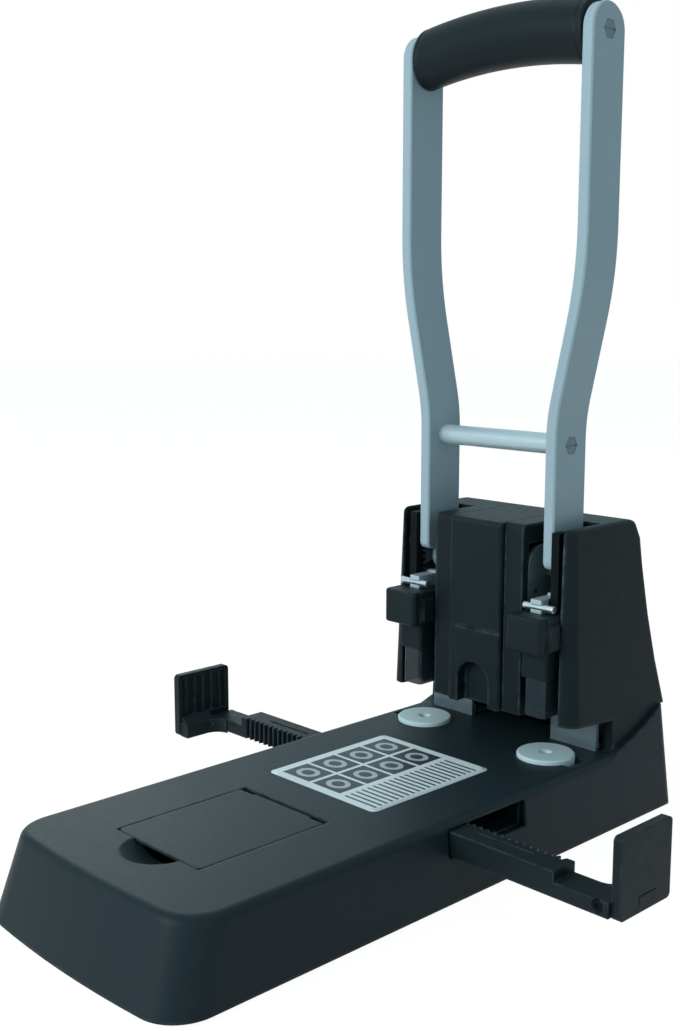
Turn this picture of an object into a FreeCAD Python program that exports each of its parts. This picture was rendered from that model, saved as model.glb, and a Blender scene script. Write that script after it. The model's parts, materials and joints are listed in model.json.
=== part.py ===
import FreeCAD, Part
import math
import os
import re
import Sketcher
from FreeCAD import Placement, Rotation, Vector

# Heavy-duty two-hole punch: a long base, a tower with two punching heads, and a tall lever.
# X runs across the base, Y from its front to its back, Z up. The origin lies at the middle of
# the base's length, on the surface that the feet stand on. All sizes are in millimetres.
# Slopes ("lean") are sideways run over rise; angles are in degrees.

doc = FreeCAD.newDocument("lever_punch")
sheet = doc.addObject("Spreadsheet::Sheet", "sizes")

sizes = {
    # base
    "base_length": 322.0,
    "base_half_width": 66.9,
    "side_lean": 0.1,
    "front_lean": 0.34,
    "back_lean": 0.05,
    "front_bow": 4.0,
    "front_corner": 19.0,
    "back_corner": 6.0,
    "deck_height": 37.0,
    "deck_edge": 4.0,
    "foot_height": 1.5,
    "foot_radius": 8.0,
    "foot_spread": 46.0,
    "foot_from_front": 42.0,
    "foot_from_back": 28.0,
    "wall": 2.8,
    "hollow_corner": 8.5,
    "shoulder_height": 53.0,
    "seam_start": 4.0,
    "seam_turn": 30.0,
    "seam_lift": 9.0,
    "seam_end": 44.0,
    "well_margin": 6.5,
    "plate_thickness": 2.2,
    "post_spread": 50.0,
    "post_radius": 5.0,
    "screw_radius": 1.5,
    "screw_head_radius": 3.0,
    "screw_length": 14.0,
    "bracket_room": 15.5,
    # where things stand along the base
    "punch_place": 88.0,
    "guide_place": 16.0,
    "lid_place": -81.6,
    # heads and throat
    "hole_spacing": 80.0,
    "throat_gap": 18.5,
    "throat_depth": 22.0,
    "disc_radius": 14.1,
    "disc_rise": 2.0,
    "disc_thickness": 5.0,
    "disc_pin_radius": 2.0,
    "disc_bore_drop": 12.0,
    "disc_boss_drop": 10.0,
    "cutter_radius": 3.0,
    "cutter_wall": 0.7,
    "cutter_bore": 24.0,
    # tower
    "tower_height": 150.0,
    "tower_wall": 3.0,
    "tower_top_half": 54.6,
    "tower_lean": 0.0484,
    "tower_top_depth": 53.0,
    "tower_flare": 25.0,
    "tower_crown": 4.0,
    "tower_corner": 7.0,
    "tower_edge": 3.0,
    "cheek_setback": 6.0,
    "slot_inner": 28.0,
    "slot_outer": 51.1,
    "nose_half_width": 16.6,
    "nose_reach": 8.8,
    "nose_wall": 2.4,
    "nose_strip": 1.6,
    "seam_drop": 39.0,
    "arch_half_width": 10.0,
    "arch_height": 22.0,
    # steel brackets in the tower
    "flange_thickness": 2.0,
    "flange_drop": 11.0,
    "flange_setback": 4.5,
    "web_thickness": 2.5,
    "shelf_rise": 2.5,
    "shelf_reach": 8.5,
    "rivet_radius": 1.6,
    "bracket_screw_radius": 1.7,
    "bracket_screw_spread": 7.0,
    "bracket_screw_back": 9.0,
    # lever
    "pivot_behind": 16.0,
    "pivot_drop": 26.0,
    "shaft_radius": 4.0,
    "running_gap": 0.05,
    "lever_swing": 78.0,
    "drive_module": 1.0,
    "drive_teeth": 28.0,
    "sector_thickness": 5.0,
    "arm_inner": 36.7,
    "arm_thickness": 6.27,
    "arm_depth": 24.25,
    "arm_ahead": 6.2,
    "arm_toe": 5.0,
    "arm_spread": 14.6,
    "arm_bevel": 0.8,
    "bend_start": 191.0,
    "bend_angle": 12.3,
    "low_bend": 90.0,
    "high_bend": 200.0,
    "grip_height": 374.5,
    "grip_depth": 25.0,
    "grip_tall": 29.0,
    "grip_bow": 4.5,
    "rod_height": 188.2,
    "rod_radius": 5.0,
    "bolt_radius": 2.4,
    "bolt_flats": 7.9,
    # punching heads
    "knob_half": 10.5,
    "knob_reach": 20.5,
    "knob_tall": 17.5,
    "knob_wall": 2.6,
    "tab_reach": 1.3,
    "tab_behind": 6.5,
    "tab_length": 7.0,
    "tab_tall": 11.5,
    "collar_half": 7.5,
    "collar_reach": 12.0,
    "collar_tall": 14.0,
    "collar_lift": 22.5,
    "collar_wall": 1.3,
    "guard_tall": 29.5,
    "guard_wall": 1.2,
    "guard_play": 0.3,
    "shank_inset": 8.2,
    "shank_width": 6.2,
    "shank_ahead": 3.4,
    "shank_depth": 3.5,
    "cross_pin_radius": 1.9,
    "cross_pin_ahead": 11.4,
    "spring_rod_radius": 2.0,
    "spring_rod_behind": 13.0,
    "spring_radius": 3.9,
    "spring_wire": 0.52,
    "spring_turns": 8.0,
    # paper guides
    "guide_module": 1.2,
    "guide_teeth": 20.0,
    "guide_out": 24.9,
    "guide_low": 22.0,
    "guide_high": 33.0,
    "guide_reach": 148.5,
    "guide_tail": 28.0,
    "guide_end": 30.0,
    "guide_step": 4.6,
    "guide_screw_radius": 1.5,
    "guide_screw_head": 2.5,
    "index_from": 46.0,
    "index_to": 16.0,
    "index_half": 0.8,
    "index_depth": 1.2,
    "stop_length": 34.5,
    "stop_inset": 2.0,
    "stop_height": 55.0,
    "stop_thickness": 4.0,
    "stop_corner": 2.2,
    "stop_rim": 2.0,
    "stop_shelf": 6.0,
    "stop_ribs": 5.0,
    "tray_wall": 2.0,
    "tray_floor": 3.0,
    # storage lid
    "lid_half_width": 27.6,
    "lid_length": 66.0,
    "lid_thickness": 2.2,
    "lid_slot": 3.6,
    "lid_corner": 2.5,
    "lid_bevel": 1.2,
    "knuckle_inset": 9.0,
    "tub_floor": 10.0,
    "tub_wall": 1.5,
    "tub_ledge": 2.0,
    "hinge_behind": 0.8,
    "hinge_drop": 2.3,
    "hinge_radius": 2.2,
    "lid_pin_radius": 1.0,
    "notch_radius": 16.0,
    "notch_depth": 6.0,
    # clearances
    "gap": 0.4,
    "slide_gap": 0.3,
    "tooth_play": 0.2,
}
for row, (name, number) in enumerate(sizes.items(), start=1):
    sheet.set(f"A{row}", name)
    sheet.set(f"B{row}", str(number))
    sheet.setAlias(f"B{row}", name)
doc.recompute()

# Heights and places that several pieces share, worked out from the sizes.
past = 5  # how far a cutting form runs past the surface that it cuts
sliver = 0.5  # how far an added form runs into the one that it joins
head_sink = 0.9  # depth of a stop plate screw's head, flush with its arm
base_front = "(-base_length / 2)"
base_back = "(base_length / 2)"
ceiling = "(deck_height - wall)"
plate_top = "(foot_height + plate_thickness)"
screw_rows = ("(lid_place - 5)", "(punch_place + 40)")
screw_spots = [(f"({side} * post_spread)", along) for side in (-1, 1) for along in screw_rows]
foot_rows = (f"({base_front} + foot_from_front)", f"({base_back} - foot_from_back)")
throat_roof = "(deck_height + throat_gap)"
web_front = "(punch_place + throat_depth)"
web_back = f"({web_front} + web_thickness)"
cheek_front = "(punch_place - cheek_setback)"
pivot_place = "(punch_place + pivot_behind)"
pivot_height = "(tower_height - pivot_drop)"
rod_place = "(punch_place + spring_rod_behind)"
bracket_inner = "(slot_inner - flange_thickness)"
bracket_outer = "(slot_outer + flange_thickness + 0.3)"
flange_front = f"({cheek_front} + flange_setback)"
flange_top = "(tower_height - flange_drop)"
shelf_top = f"({throat_roof} + shelf_rise)"
lid_front = "(lid_place - lid_length / 2)"
lid_back = "(lid_place + lid_length / 2)"
hinge_y = f"({lid_back} + hinge_behind)"
hinge_z = "(deck_height - hinge_drop)"
lid_pin_half = "(lid_half_width + gap + 1)"
arm_front = f"({pivot_place} - arm_ahead - arm_depth / 2)"
arm_middle = f"({arm_front} + arm_depth / 2)"
arm_top = "(grip_height + arm_depth / 2)"
arm_bottom = f"({pivot_height} + arm_toe)"
high_inner = "(arm_inner + arm_spread)"
shank_front = "(punch_place + shank_ahead)"
shank_back = f"({shank_front} + shank_depth)"
shank_inner = "(slot_inner + shank_inset)"
shank_outer = f"({shank_inner} + shank_width)"
stroke = "(drive_module * drive_teeth / 2 * lever_swing * pi / 180)"
cutter_tip = f"(deck_height + disc_rise + {stroke} + 0.2)"
collar_low = f"({throat_roof} + collar_lift)"
knob_low = f"({collar_low} + collar_tall)"
knob_high = f"({knob_low} + knob_tall)"
along_x = Rotation(Vector(0, 1, 0), 90)
upright = Vector(0, 0, 1)
pressure = math.radians(20)

pieces = []


# Helpers: formulas, sketches and the features raised from them.
def full(formula):
    # the formula with every size's name pointed at the sheet
    def point(word):
        return "sizes." + word[0] if word[0] in sizes else word[0]

    return re.sub(r"[a-z_]+", point, str(formula))


def worth(formula):
    return float(sheet.evalExpression(full(formula)))


def bind(item, field, formula):
    item.setExpression(field, full(formula))


def place_at(item, place):
    for axis, formula in zip("xyz", place):
        bind(item, f"Placement.Base.{axis}", formula)


def keep(item):
    # a finished piece, exported under its label
    pieces.append(item)
    return item


def start(name):
    body = doc.addObject("PartDesign::Body", name)
    body.Label = name
    return keep(body)


def sketch_on(body, role, offset):
    sketch = body.newObject("Sketcher::SketchObject", body.Name + "_sketch")
    plane = next(item for item in body.Origin.OriginFeatures if item.Role == role)
    sketch.AttachmentSupport = [(plane, "")]
    sketch.MapMode = "FlatFace"
    bind(sketch, "AttachmentOffset.Base.z", offset)
    return sketch


def hold(sketch, kind, geometry, end, formula):
    # ties one point of a line or arc to its distance from the sketch's origin
    number = sketch.addConstraint(Sketcher.Constraint(kind, -1, 1, geometry, end, worth(formula)))
    sketch.setExpression(f"Constraints[{number}]", full(formula))


def outline(body, role, offset, corners, centre_up=None):
    # closed outline, every corner bound to its two formulas; the last side is straight,
    # or an arc about a centre at the height given
    sketch = sketch_on(body, role, offset)
    spots = [Vector(worth(across), worth(up), 0) for across, up in corners]
    count = len(spots)
    straight = count if centre_up is None else count - 1
    for number in range(straight):
        sketch.addGeometry(Part.LineSegment(spots[number], spots[(number + 1) % count]))
    if centre_up is not None:
        centre = Vector(0, worth(centre_up), 0)
        radius = (spots[0] - centre).Length
        sketch.addGeometry(Part.Arc(spots[-1], centre - Vector(0, radius, 0), spots[0]))
        sketch.addConstraint(Sketcher.Constraint("Coincident", count - 2, 2, count - 1, 1))
        sketch.addConstraint(Sketcher.Constraint("Coincident", count - 1, 2, 0, 1))
        hold(sketch, "DistanceY", count - 1, 3, centre_up)
    for number in range(straight if centre_up is None else straight - 1):
        sketch.addConstraint(Sketcher.Constraint("Coincident", number, 2, (number + 1) % count, 1))
    for number, (across, up) in enumerate(corners[:straight]):
        hold(sketch, "DistanceX", number, 1, across)
        hold(sketch, "DistanceY", number, 1, up)
    if centre_up is not None:
        hold(sketch, "DistanceX", straight - 1, 2, corners[-1][0])
        hold(sketch, "DistanceY", straight - 1, 2, corners[-1][1])
    return sketch


def ring(body, role, offset, across, up, radius):
    sketch = sketch_on(body, role, offset)
    centre = Vector(worth(across), worth(up), 0)
    sketch.addGeometry(Part.Circle(centre, upright, worth(radius)))
    hold(sketch, "DistanceX", 0, 3, across)
    hold(sketch, "DistanceY", 0, 3, up)
    number = sketch.addConstraint(Sketcher.Constraint("Radius", 0, worth(radius)))
    sketch.setExpression(f"Constraints[{number}]", full(radius))
    return sketch


def raise_from(body, kind, sketch, length):
    # a pad along the sketch's normal, or a pocket that cuts the same way
    feature = body.newObject("PartDesign::" + kind, body.Name + "_" + kind.lower())
    feature.Profile = sketch
    bind(feature, "Length", length)
    if kind == "Pocket":
        feature.Reversed = True
    doc.recompute()
    return feature


def prism(body, kind, role, low, high, corners, centre_up=None):
    # form between two places along the axis square to the plane
    offset = f"-({high})" if role == "XZ_Plane" else low
    sketch = outline(body, role, offset, corners, centre_up)
    return raise_from(body, kind, sketch, f"({high}) - ({low})")


def round_form(body, kind, role, low, high, across, up, radius):
    offset = f"-({high})" if role == "XZ_Plane" else low
    sketch = ring(body, role, offset, across, up, radius)
    return raise_from(body, kind, sketch, f"({high}) - ({low})")


def turned_form(body, role, corners, axis):
    # a full turn of an outline about one axis of its sketch
    sketch = outline(body, role, "0", corners)
    feature = body.newObject("PartDesign::Revolution", body.Name + "_turn")
    feature.Profile = sketch
    feature.ReferenceAxis = (sketch, [axis])
    feature.Angle = 360
    doc.recompute()
    return feature


def corners_of(across, up):
    # four corners of a rectangle from its two spans
    return [(across[0], up[0]), (across[1], up[0]), (across[1], up[1]), (across[0], up[1])]


def block(body, kind, x, y, z):
    return prism(body, kind, "XY_Plane", z[0], z[1], corners_of(x, y))


def wide(half):
    # a span as far to the left of the middle as to the right
    return f"-({half})", f"({half})"


def finish_edges(body, kind, amount, test):
    # fillet or chamfer on those edges of the tip that the test picks
    tip = body.Tip
    names = [f"Edge{number}" for number, edge in enumerate(tip.Shape.Edges, start=1) if test(edge)]
    feature = body.newObject("PartDesign::" + kind, body.Name + "_" + kind.lower())
    feature.Base = (tip, names)
    bind(feature, "Radius" if kind == "Fillet" else "Size", amount)
    doc.recompute()
    return feature


def lean_faces(body, slope, test):
    # tilts the faces that the test picks inwards, turning them about the body's bottom face
    tip = body.Tip
    low = tip.Shape.BoundBox.ZMin
    faces = list(enumerate(tip.Shape.Faces, start=1))
    feature = body.newObject("PartDesign::Draft", body.Name + "_lean")
    feature.Base = (tip, [f"Face{number}" for number, face in faces if test(face.BoundBox)])
    bottom = next(f"Face{number}" for number, face in faces if face.BoundBox.ZMax < low + 0.01)
    feature.NeutralPlane = (tip, [bottom])
    bind(feature, "Angle", f"atan({slope})")
    doc.recompute()
    return feature


def is_along(edge, direction, slack=0.2):
    # an edge whose ends lie nearly along the direction from each other
    ends = edge.Vertexes
    if len(ends) < 2:
        return False
    run = ends[1].Point - ends[0].Point
    return abs(run.normalize().dot(direction)) > 1 - slack


def is_near(number, place, slack=0.1):
    return abs(number - place) < slack


def mid(edge):
    return edge.BoundBox.Center


def either(side, near, far):
    # a span across X on one side of the middle, lower end first
    return (near, far) if side > 0 else (f"-({far})", f"-({near})")


def named(side, name):
    return ("right_" if side > 0 else "left_") + name


def group(name, members):
    # identical loose pieces in one node
    bundle = doc.addObject("Part::Compound", name)
    bundle.Label = name
    bundle.Links = members
    return keep(bundle)


def cylinder(name, radius, length, place, turn=None):
    # round bar from its place, along Z or turned to another axis
    bar = doc.addObject("Part::Cylinder", name)
    bind(bar, "Radius", radius)
    bind(bar, "Height", length)
    if turn:
        bar.Placement = Placement(Vector(), turn)
    place_at(bar, place)
    return bar


def screw(name, radius, length, head_radius, head_height, place, head_place):
    # headed screw along Z
    shank = cylinder(name + "_shank", radius, length, place)
    head = cylinder(name + "_head", head_radius, head_height, head_place)
    solid = doc.addObject("Part::MultiFuse", name)
    solid.Shapes = [shank, head]
    return solid


def shaped(name, shape, place=None):
    item = doc.addObject("Part::Feature", name)
    item.Label = name
    item.Shape = shape
    if place:
        item.Placement = place
    return item


def bar_from(low, high):
    # box between two opposite corners
    size = Vector(*high) - Vector(*low)
    return Part.makeBox(size.x, size.y, size.z, Vector(*low))


# Base: drafted shell with a bowed front, open below, and what closes its underside.
def base_half(height, inset="0"):
    # half width of the base at a height, drawn in by the lean of its sides
    return f"(base_half_width - side_lean * ({height} - foot_height) - {inset})"


def base_end(height, inset="0"):
    # front and back of the base at a height, measured at its middle
    front = f"({base_front} + front_lean * ({height} - foot_height) + {inset})"
    back = f"({base_back} - back_lean * ({height} - foot_height) - {inset})"
    return front, back


def hollow_outline(height):
    # rectangle with its corners cut off, one wall inside the shell at that height
    half = base_half(height, "wall")
    front, back = base_end(height, "wall")
    front = f"({front} + front_bow)"
    corners = []
    right_corners = ((1, front, "+", True), (1, back, "-", False))
    left_corners = ((-1, back, "-", True), (-1, front, "+", False))
    for side, along, inward, first in right_corners + left_corners:
        on_end = (f"{side} * ({half} - hollow_corner)", along)
        on_side = (f"{side} * {half}", f"{along} {inward} hollow_corner")
        corners += [on_end, on_side] if first else [on_side, on_end]
    return corners


def shell_form(body):
    # bowed outline raised and drafted, corners rounded, then cut to the deck and its shoulders
    top = f"(shoulder_height + {past})"
    front_side = f"({base_front} + front_bow)"
    bow_radius = "(base_half_width * base_half_width + front_bow * front_bow) / (2 * front_bow)"
    corners = [("base_half_width", front_side), ("base_half_width", base_back)]
    corners += [("-base_half_width", base_back), ("-base_half_width", front_side)]
    prism(body, "Pad", "XY_Plane", "foot_height", top, corners, f"{base_front} + {bow_radius}")
    lean_faces(body, "front_lean", lambda box: box.YMax < worth(base_front) / 2)
    lean_faces(body, "side_lean", lambda box: box.XLength < worth("base_half_width") / 2)
    lean_faces(body, "back_lean", lambda box: box.YMin > worth(base_back) / 2)
    finish_edges(body, "Fillet", "front_corner", lambda edge: is_along(edge, upright) and mid(edge).y < 0)
    finish_edges(body, "Fillet", "back_corner", lambda edge: is_along(edge, upright) and mid(edge).y > 0)

    above = f"shoulder_height + {4 * past}"
    seam = [(f"{base_front} - {past}", "deck_height"), (f"{web_front} + seam_start", "deck_height")]
    seam += [(f"{web_front} + seam_turn", "deck_height + seam_lift")]
    seam += [(f"{web_front} + seam_end", "shoulder_height")]
    seam += [(f"{base_back} + {past}", "shoulder_height"), (f"{base_back} + {past}", above)]
    seam += [(f"{base_front} - {past}", above)]
    span = wide(f"base_half_width + {past}")
    prism(body, "Pocket", "YZ_Plane", *span, seam)
    deck = worth("deck_height")
    rim_end = worth(web_front)

    def on_deck_rim(edge):
        box = edge.BoundBox
        return is_near(box.ZMin, deck) and is_near(box.ZMax, deck) and box.YMin < rim_end

    finish_edges(body, "Fillet", "deck_edge", on_deck_rim)


def hollow_shell(body):
    # room under the deck, the well behind the heads, and room for the brackets' feet
    loft = body.newObject("PartDesign::SubtractiveLoft", "base_hollow")
    loft.Profile = outline(body, "XY_Plane", "foot_height", hollow_outline("foot_height"))
    loft.Sections = [(outline(body, "XY_Plane", ceiling, hollow_outline(ceiling)), [""])]
    loft.Ruled = True
    doc.recompute()
    above = f"shoulder_height + {past}"
    well_half = base_half("deck_height", "well_margin")
    well = (f"{web_back} + bracket_room - 1", f"{base_back} - well_margin - {sliver}")
    block(body, "Pocket", wide(well_half), well, (f"{ceiling} - 1", above))
    feet_room = (web_front, f"{web_back} + bracket_room")
    block(body, "Pocket", wide(f"{bracket_outer} + gap"), feet_room, ("deck_height", above))


def storage_tub(body):
    # tub for the lid with a ledge round its mouth, and the scooped finger notch before it
    above = f"deck_height + {past}"
    tub_half = "lid_half_width + gap + tub_wall"
    tub_y = (f"{lid_front} - gap - tub_wall", f"{lid_back} + lid_slot + tub_wall")
    block(body, "Pad", wide(tub_half), tub_y, ("tub_floor - wall", f"{ceiling} + {sliver}"))
    bowl_y = (f"{lid_front} - notch_radius - 2", lid_front)
    bowl_z = (f"{ceiling} - notch_depth", f"{ceiling} + {sliver}")
    block(body, "Pad", wide("notch_radius + 2"), bowl_y, bowl_z)
    mouth_half = "(lid_half_width + gap)"
    mouth_y = (f"{lid_front} - gap", f"{lid_back} + lid_slot")
    block(body, "Pocket", wide(mouth_half), mouth_y, ("deck_height - lid_thickness - 0.1", above))
    inside = (f"{mouth_y[0]} + tub_ledge", mouth_y[1])
    block(body, "Pocket", wide(f"{mouth_half} - tub_ledge"), inside, ("tub_floor", above))
    turning_room = (f"{lid_back} - hinge_radius", mouth_y[1])
    block(body, "Pocket", wide(mouth_half), turning_room, (f"{hinge_z} - hinge_radius - 1", above))
    round_form(body, "Pocket", "YZ_Plane", *wide(lid_pin_half), hinge_y, hinge_z, "lid_pin_radius")
    ball_radius = "(notch_radius * notch_radius + notch_depth * notch_depth) / (2 * notch_depth)"
    ball = body.newObject("PartDesign::SubtractiveSphere", "finger_scoop")
    bind(ball, "Radius", ball_radius)
    place_at(ball, ("0", f"{lid_front} + 1", f"deck_height - notch_depth + {ball_radius}"))
    doc.recompute()


def head_seats(body):
    # under each head: a bored seat for its disc, a finger recess, and two bracket screw holes
    above = f"deck_height + {past}"
    bore = "disc_pin_radius + running_gap"
    for side in (-1, 1):
        centre = f"({side} * hole_spacing / 2)"
        spot = (centre, "punch_place")
        boss = ("deck_height - disc_boss_drop", f"{ceiling} + {sliver}")
        round_form(body, "Pad", "XY_Plane", *boss, *spot, "disc_radius + wall")
        seat_floor = "deck_height + disc_rise - disc_thickness"
        round_form(body, "Pocket", "XY_Plane", seat_floor, above, *spot, "disc_radius + gap")
        round_form(body, "Pocket", "XY_Plane", "deck_height - disc_bore_drop", above, *spot, bore)
        recess = either(side, "hole_spacing / 2 + 6", "hole_spacing / 2 + disc_radius + 4")
        recess_y = ("punch_place - 5", "punch_place + 9")
        block(body, "Pocket", recess, recess_y, ("deck_height - disc_rise", above))
        for turn in (-1, 1):
            spot = (f"{centre} + {turn} * bracket_screw_spread", f"{web_front} + bracket_screw_back")
            round_form(body, "Pocket", "XY_Plane", "deck_height - 4", above, *spot, "bracket_screw_radius")


def make_base():
    body = start("base_shell")
    shell_form(body)
    hollow_shell(body)
    storage_tub(body)
    head_seats(body)
    # windows in both side walls for the paper guides, and screw posts under the deck
    window_half = "guide_out + 1.3"
    window = (f"guide_place - ({window_half})", f"guide_place + {window_half}")
    window_z = ("guide_low - 2 * gap", "guide_high + 2 * gap")
    block(body, "Pocket", wide(f"base_half_width + {past}"), window, window_z)
    for spot in screw_spots:
        round_form(body, "Pad", "XY_Plane", plate_top, f"{ceiling} + {sliver}", *spot, "post_radius")
        thread = ("foot_height", "deck_height - screw_length")
        round_form(body, "Pocket", "XY_Plane", *thread, *spot, "screw_radius")


def make_underside():
    # plate that closes the base, its four screws, and the four feet under it
    body = start("bottom_plate")
    front, back = base_end(plate_top, "(wall + gap)")
    half = base_half(plate_top, "(wall + gap)")
    block(body, "Pad", wide(half), (f"{front} + front_bow", back), ("foot_height", plate_top))
    finish_edges(body, "Chamfer", "hollow_corner", lambda edge: is_along(edge, upright))
    countersink = ("foot_height - 1", "foot_height + 1.2")
    through = ("foot_height - 1", f"{plate_top} + 1")
    for spot in screw_spots:
        round_form(body, "Pocket", "XY_Plane", *through, *spot, "screw_radius")
        round_form(body, "Pocket", "XY_Plane", *countersink, *spot, "screw_head_radius + 0.2")

    screws = []
    for number, spot in enumerate(screw_spots):
        place = (*spot, "foot_height + 0.2")
        head = ("screw_head_radius", "1")
        screws.append(screw(f"plate_screw_{number}", "screw_radius", "screw_length", *head, place, place))
    feet = []
    for side in (-1, 1):
        for along in foot_rows:
            foot = doc.addObject("Part::Cone", "foot")
            bind(foot, "Radius1", "foot_radius - 1")
            bind(foot, "Radius2", "foot_radius")
            bind(foot, "Height", "foot_height")
            place_at(foot, (f"{side} * foot_spread", along, "0"))
            feet.append(foot)
    group("rubber_feet", feet)
    group("bottom_screws", screws)


def make_lid():
    # flat lid with a hinge knuckle at its back edge, and the pin that it turns on
    body = start("storage_lid")
    lid_z = ("deck_height - lid_thickness", "deck_height")
    block(body, "Pad", wide("lid_half_width"), (lid_front, lid_back), lid_z)
    front, middle, low = worth(lid_front), worth("lid_place"), worth(lid_z[0])

    def on_front_corner(edge):
        return is_along(edge, upright) and mid(edge).y < middle

    def on_front_underside(edge):
        return is_near(mid(edge).y, front) and is_near(mid(edge).z, low)

    finish_edges(body, "Fillet", "lid_corner", on_front_corner)
    finish_edges(body, "Chamfer", "lid_bevel", on_front_underside)
    knuckle_half = "lid_half_width - knuckle_inset"
    round_form(body, "Pad", "YZ_Plane", *wide(knuckle_half), hinge_y, hinge_z, "hinge_radius")
    bore = "lid_pin_radius + running_gap"
    round_form(body, "Pocket", "YZ_Plane", *wide(lid_pin_half), hinge_y, hinge_z, bore)
    left_end = wide(lid_pin_half)[0]
    keep(cylinder("lid_pin", "lid_pin_radius", f"2 * {lid_pin_half}", (left_end, hinge_y, hinge_z), along_x))


# Toothed pieces: shapes worked out from a module and a count of teeth.
def involute(angle):
    return math.tan(angle) - angle


def gear_flank(module, teeth):
    # one side of a tooth as radius and half angle, from its root to its tip
    pitch = module * teeth / 2
    base = pitch * math.cos(pressure)
    root = pitch - 1.25 * module
    half = (math.pi / 2 - worth("tooth_play") / module) / teeth + involute(pressure)
    lowest = max(root, base)
    radii = [lowest + (pitch + module - lowest) * step / 3 for step in range(4)]
    flank = [(radius, half - involute(math.acos(min(1, base / radius)))) for radius in radii]
    return [(root, flank[0][1])] + flank if root < base else flank


def gear_face(module, teeth, first, last):
    # outline of the teeth between two numbers, closed through the centre if it is not a full turn
    flank = gear_flank(module, teeth)
    spots = []
    for number in range(first, last + 1):
        centre = number * 2 * math.pi / teeth
        spots += [(radius, centre - half) for radius, half in flank]
        spots += [(radius, centre + half) for radius, half in reversed(flank)]
    corners = [Vector(radius * math.cos(turn), radius * math.sin(turn), 0) for radius, turn in spots]
    if last - first + 1 < teeth:
        corners.append(Vector())
    return Part.Face(Part.makePolygon(corners + corners[:1]))


def rack_spaces(module, low, high, depth):
    # tooth spaces of a rack whose pitch line is Y 0 and whose teeth point along -Y
    pitch = math.pi * module
    slope = math.tan(pressure)
    tip, root = -1.05 * module, 1.25 * module
    narrow, broad = (pitch / 4 + worth("tooth_play") / 2 - reach * slope for reach in (root, tip))
    spaces = []
    for number in range(math.ceil(low / pitch), math.floor(high / pitch) + 1):
        middle = number * pitch
        corners = [Vector(middle - broad, tip, 0), Vector(middle + broad, tip, 0)]
        corners += [Vector(middle + narrow, root, 0), Vector(middle - narrow, root, 0)]
        spaces.append(Part.Face(Part.makePolygon(corners + corners[:1])).extrude(Vector(0, 0, depth)))
    return Part.makeCompound(spaces)


# Paper guides: two toothed arms that one pinion moves apart, each with a stop plate at its end.
def guide_arm(side, frame):
    low, high = frame["low"], frame["high"]
    arm = bar_from((frame["tail"], frame["outer"], low), (frame["reach"], frame["inner"], high))
    spaces = rack_spaces(frame["module"], frame["tail"] + 6, frame["step"] - 2, high - low + 2)
    spaces.rotate(Vector(), Vector(1, 0, 0), 180)
    spaces.translate(Vector(0, -frame["pitch_radius"], high + 1))
    arm = arm.cut(spaces)
    # lower end, and an index groove along the top
    step = frame["step"]
    lowered = bar_from((step, frame["outer"] - 1, frame["end_top"]), (frame["reach"] + 1, 0, high + 1))
    middle, half = (frame["outer"] + frame["inner"]) / 2, worth("index_half")
    groove_low = (step - worth("index_from"), middle - half, high - worth("index_depth"))
    groove = bar_from(groove_low, (step - worth("index_to"), middle + half, high + 1))
    arm = arm.cut(Part.makeCompound([lowered, groove]))
    # counterbored hole for the stop plate's screw
    radius, head_radius = worth("guide_screw_radius + running_gap"), worth("guide_screw_head + gap / 2")
    hole = Part.makeCylinder(radius, 20, frame["screw"], Vector(0, 1, 0))
    seat = Part.makeCylinder(head_radius, head_sink, frame["screw"], Vector(0, 1, 0))
    keep(shaped(named(side, "guide_arm"), arm.cut(hole).cut(seat), frame["turned"]))


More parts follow.
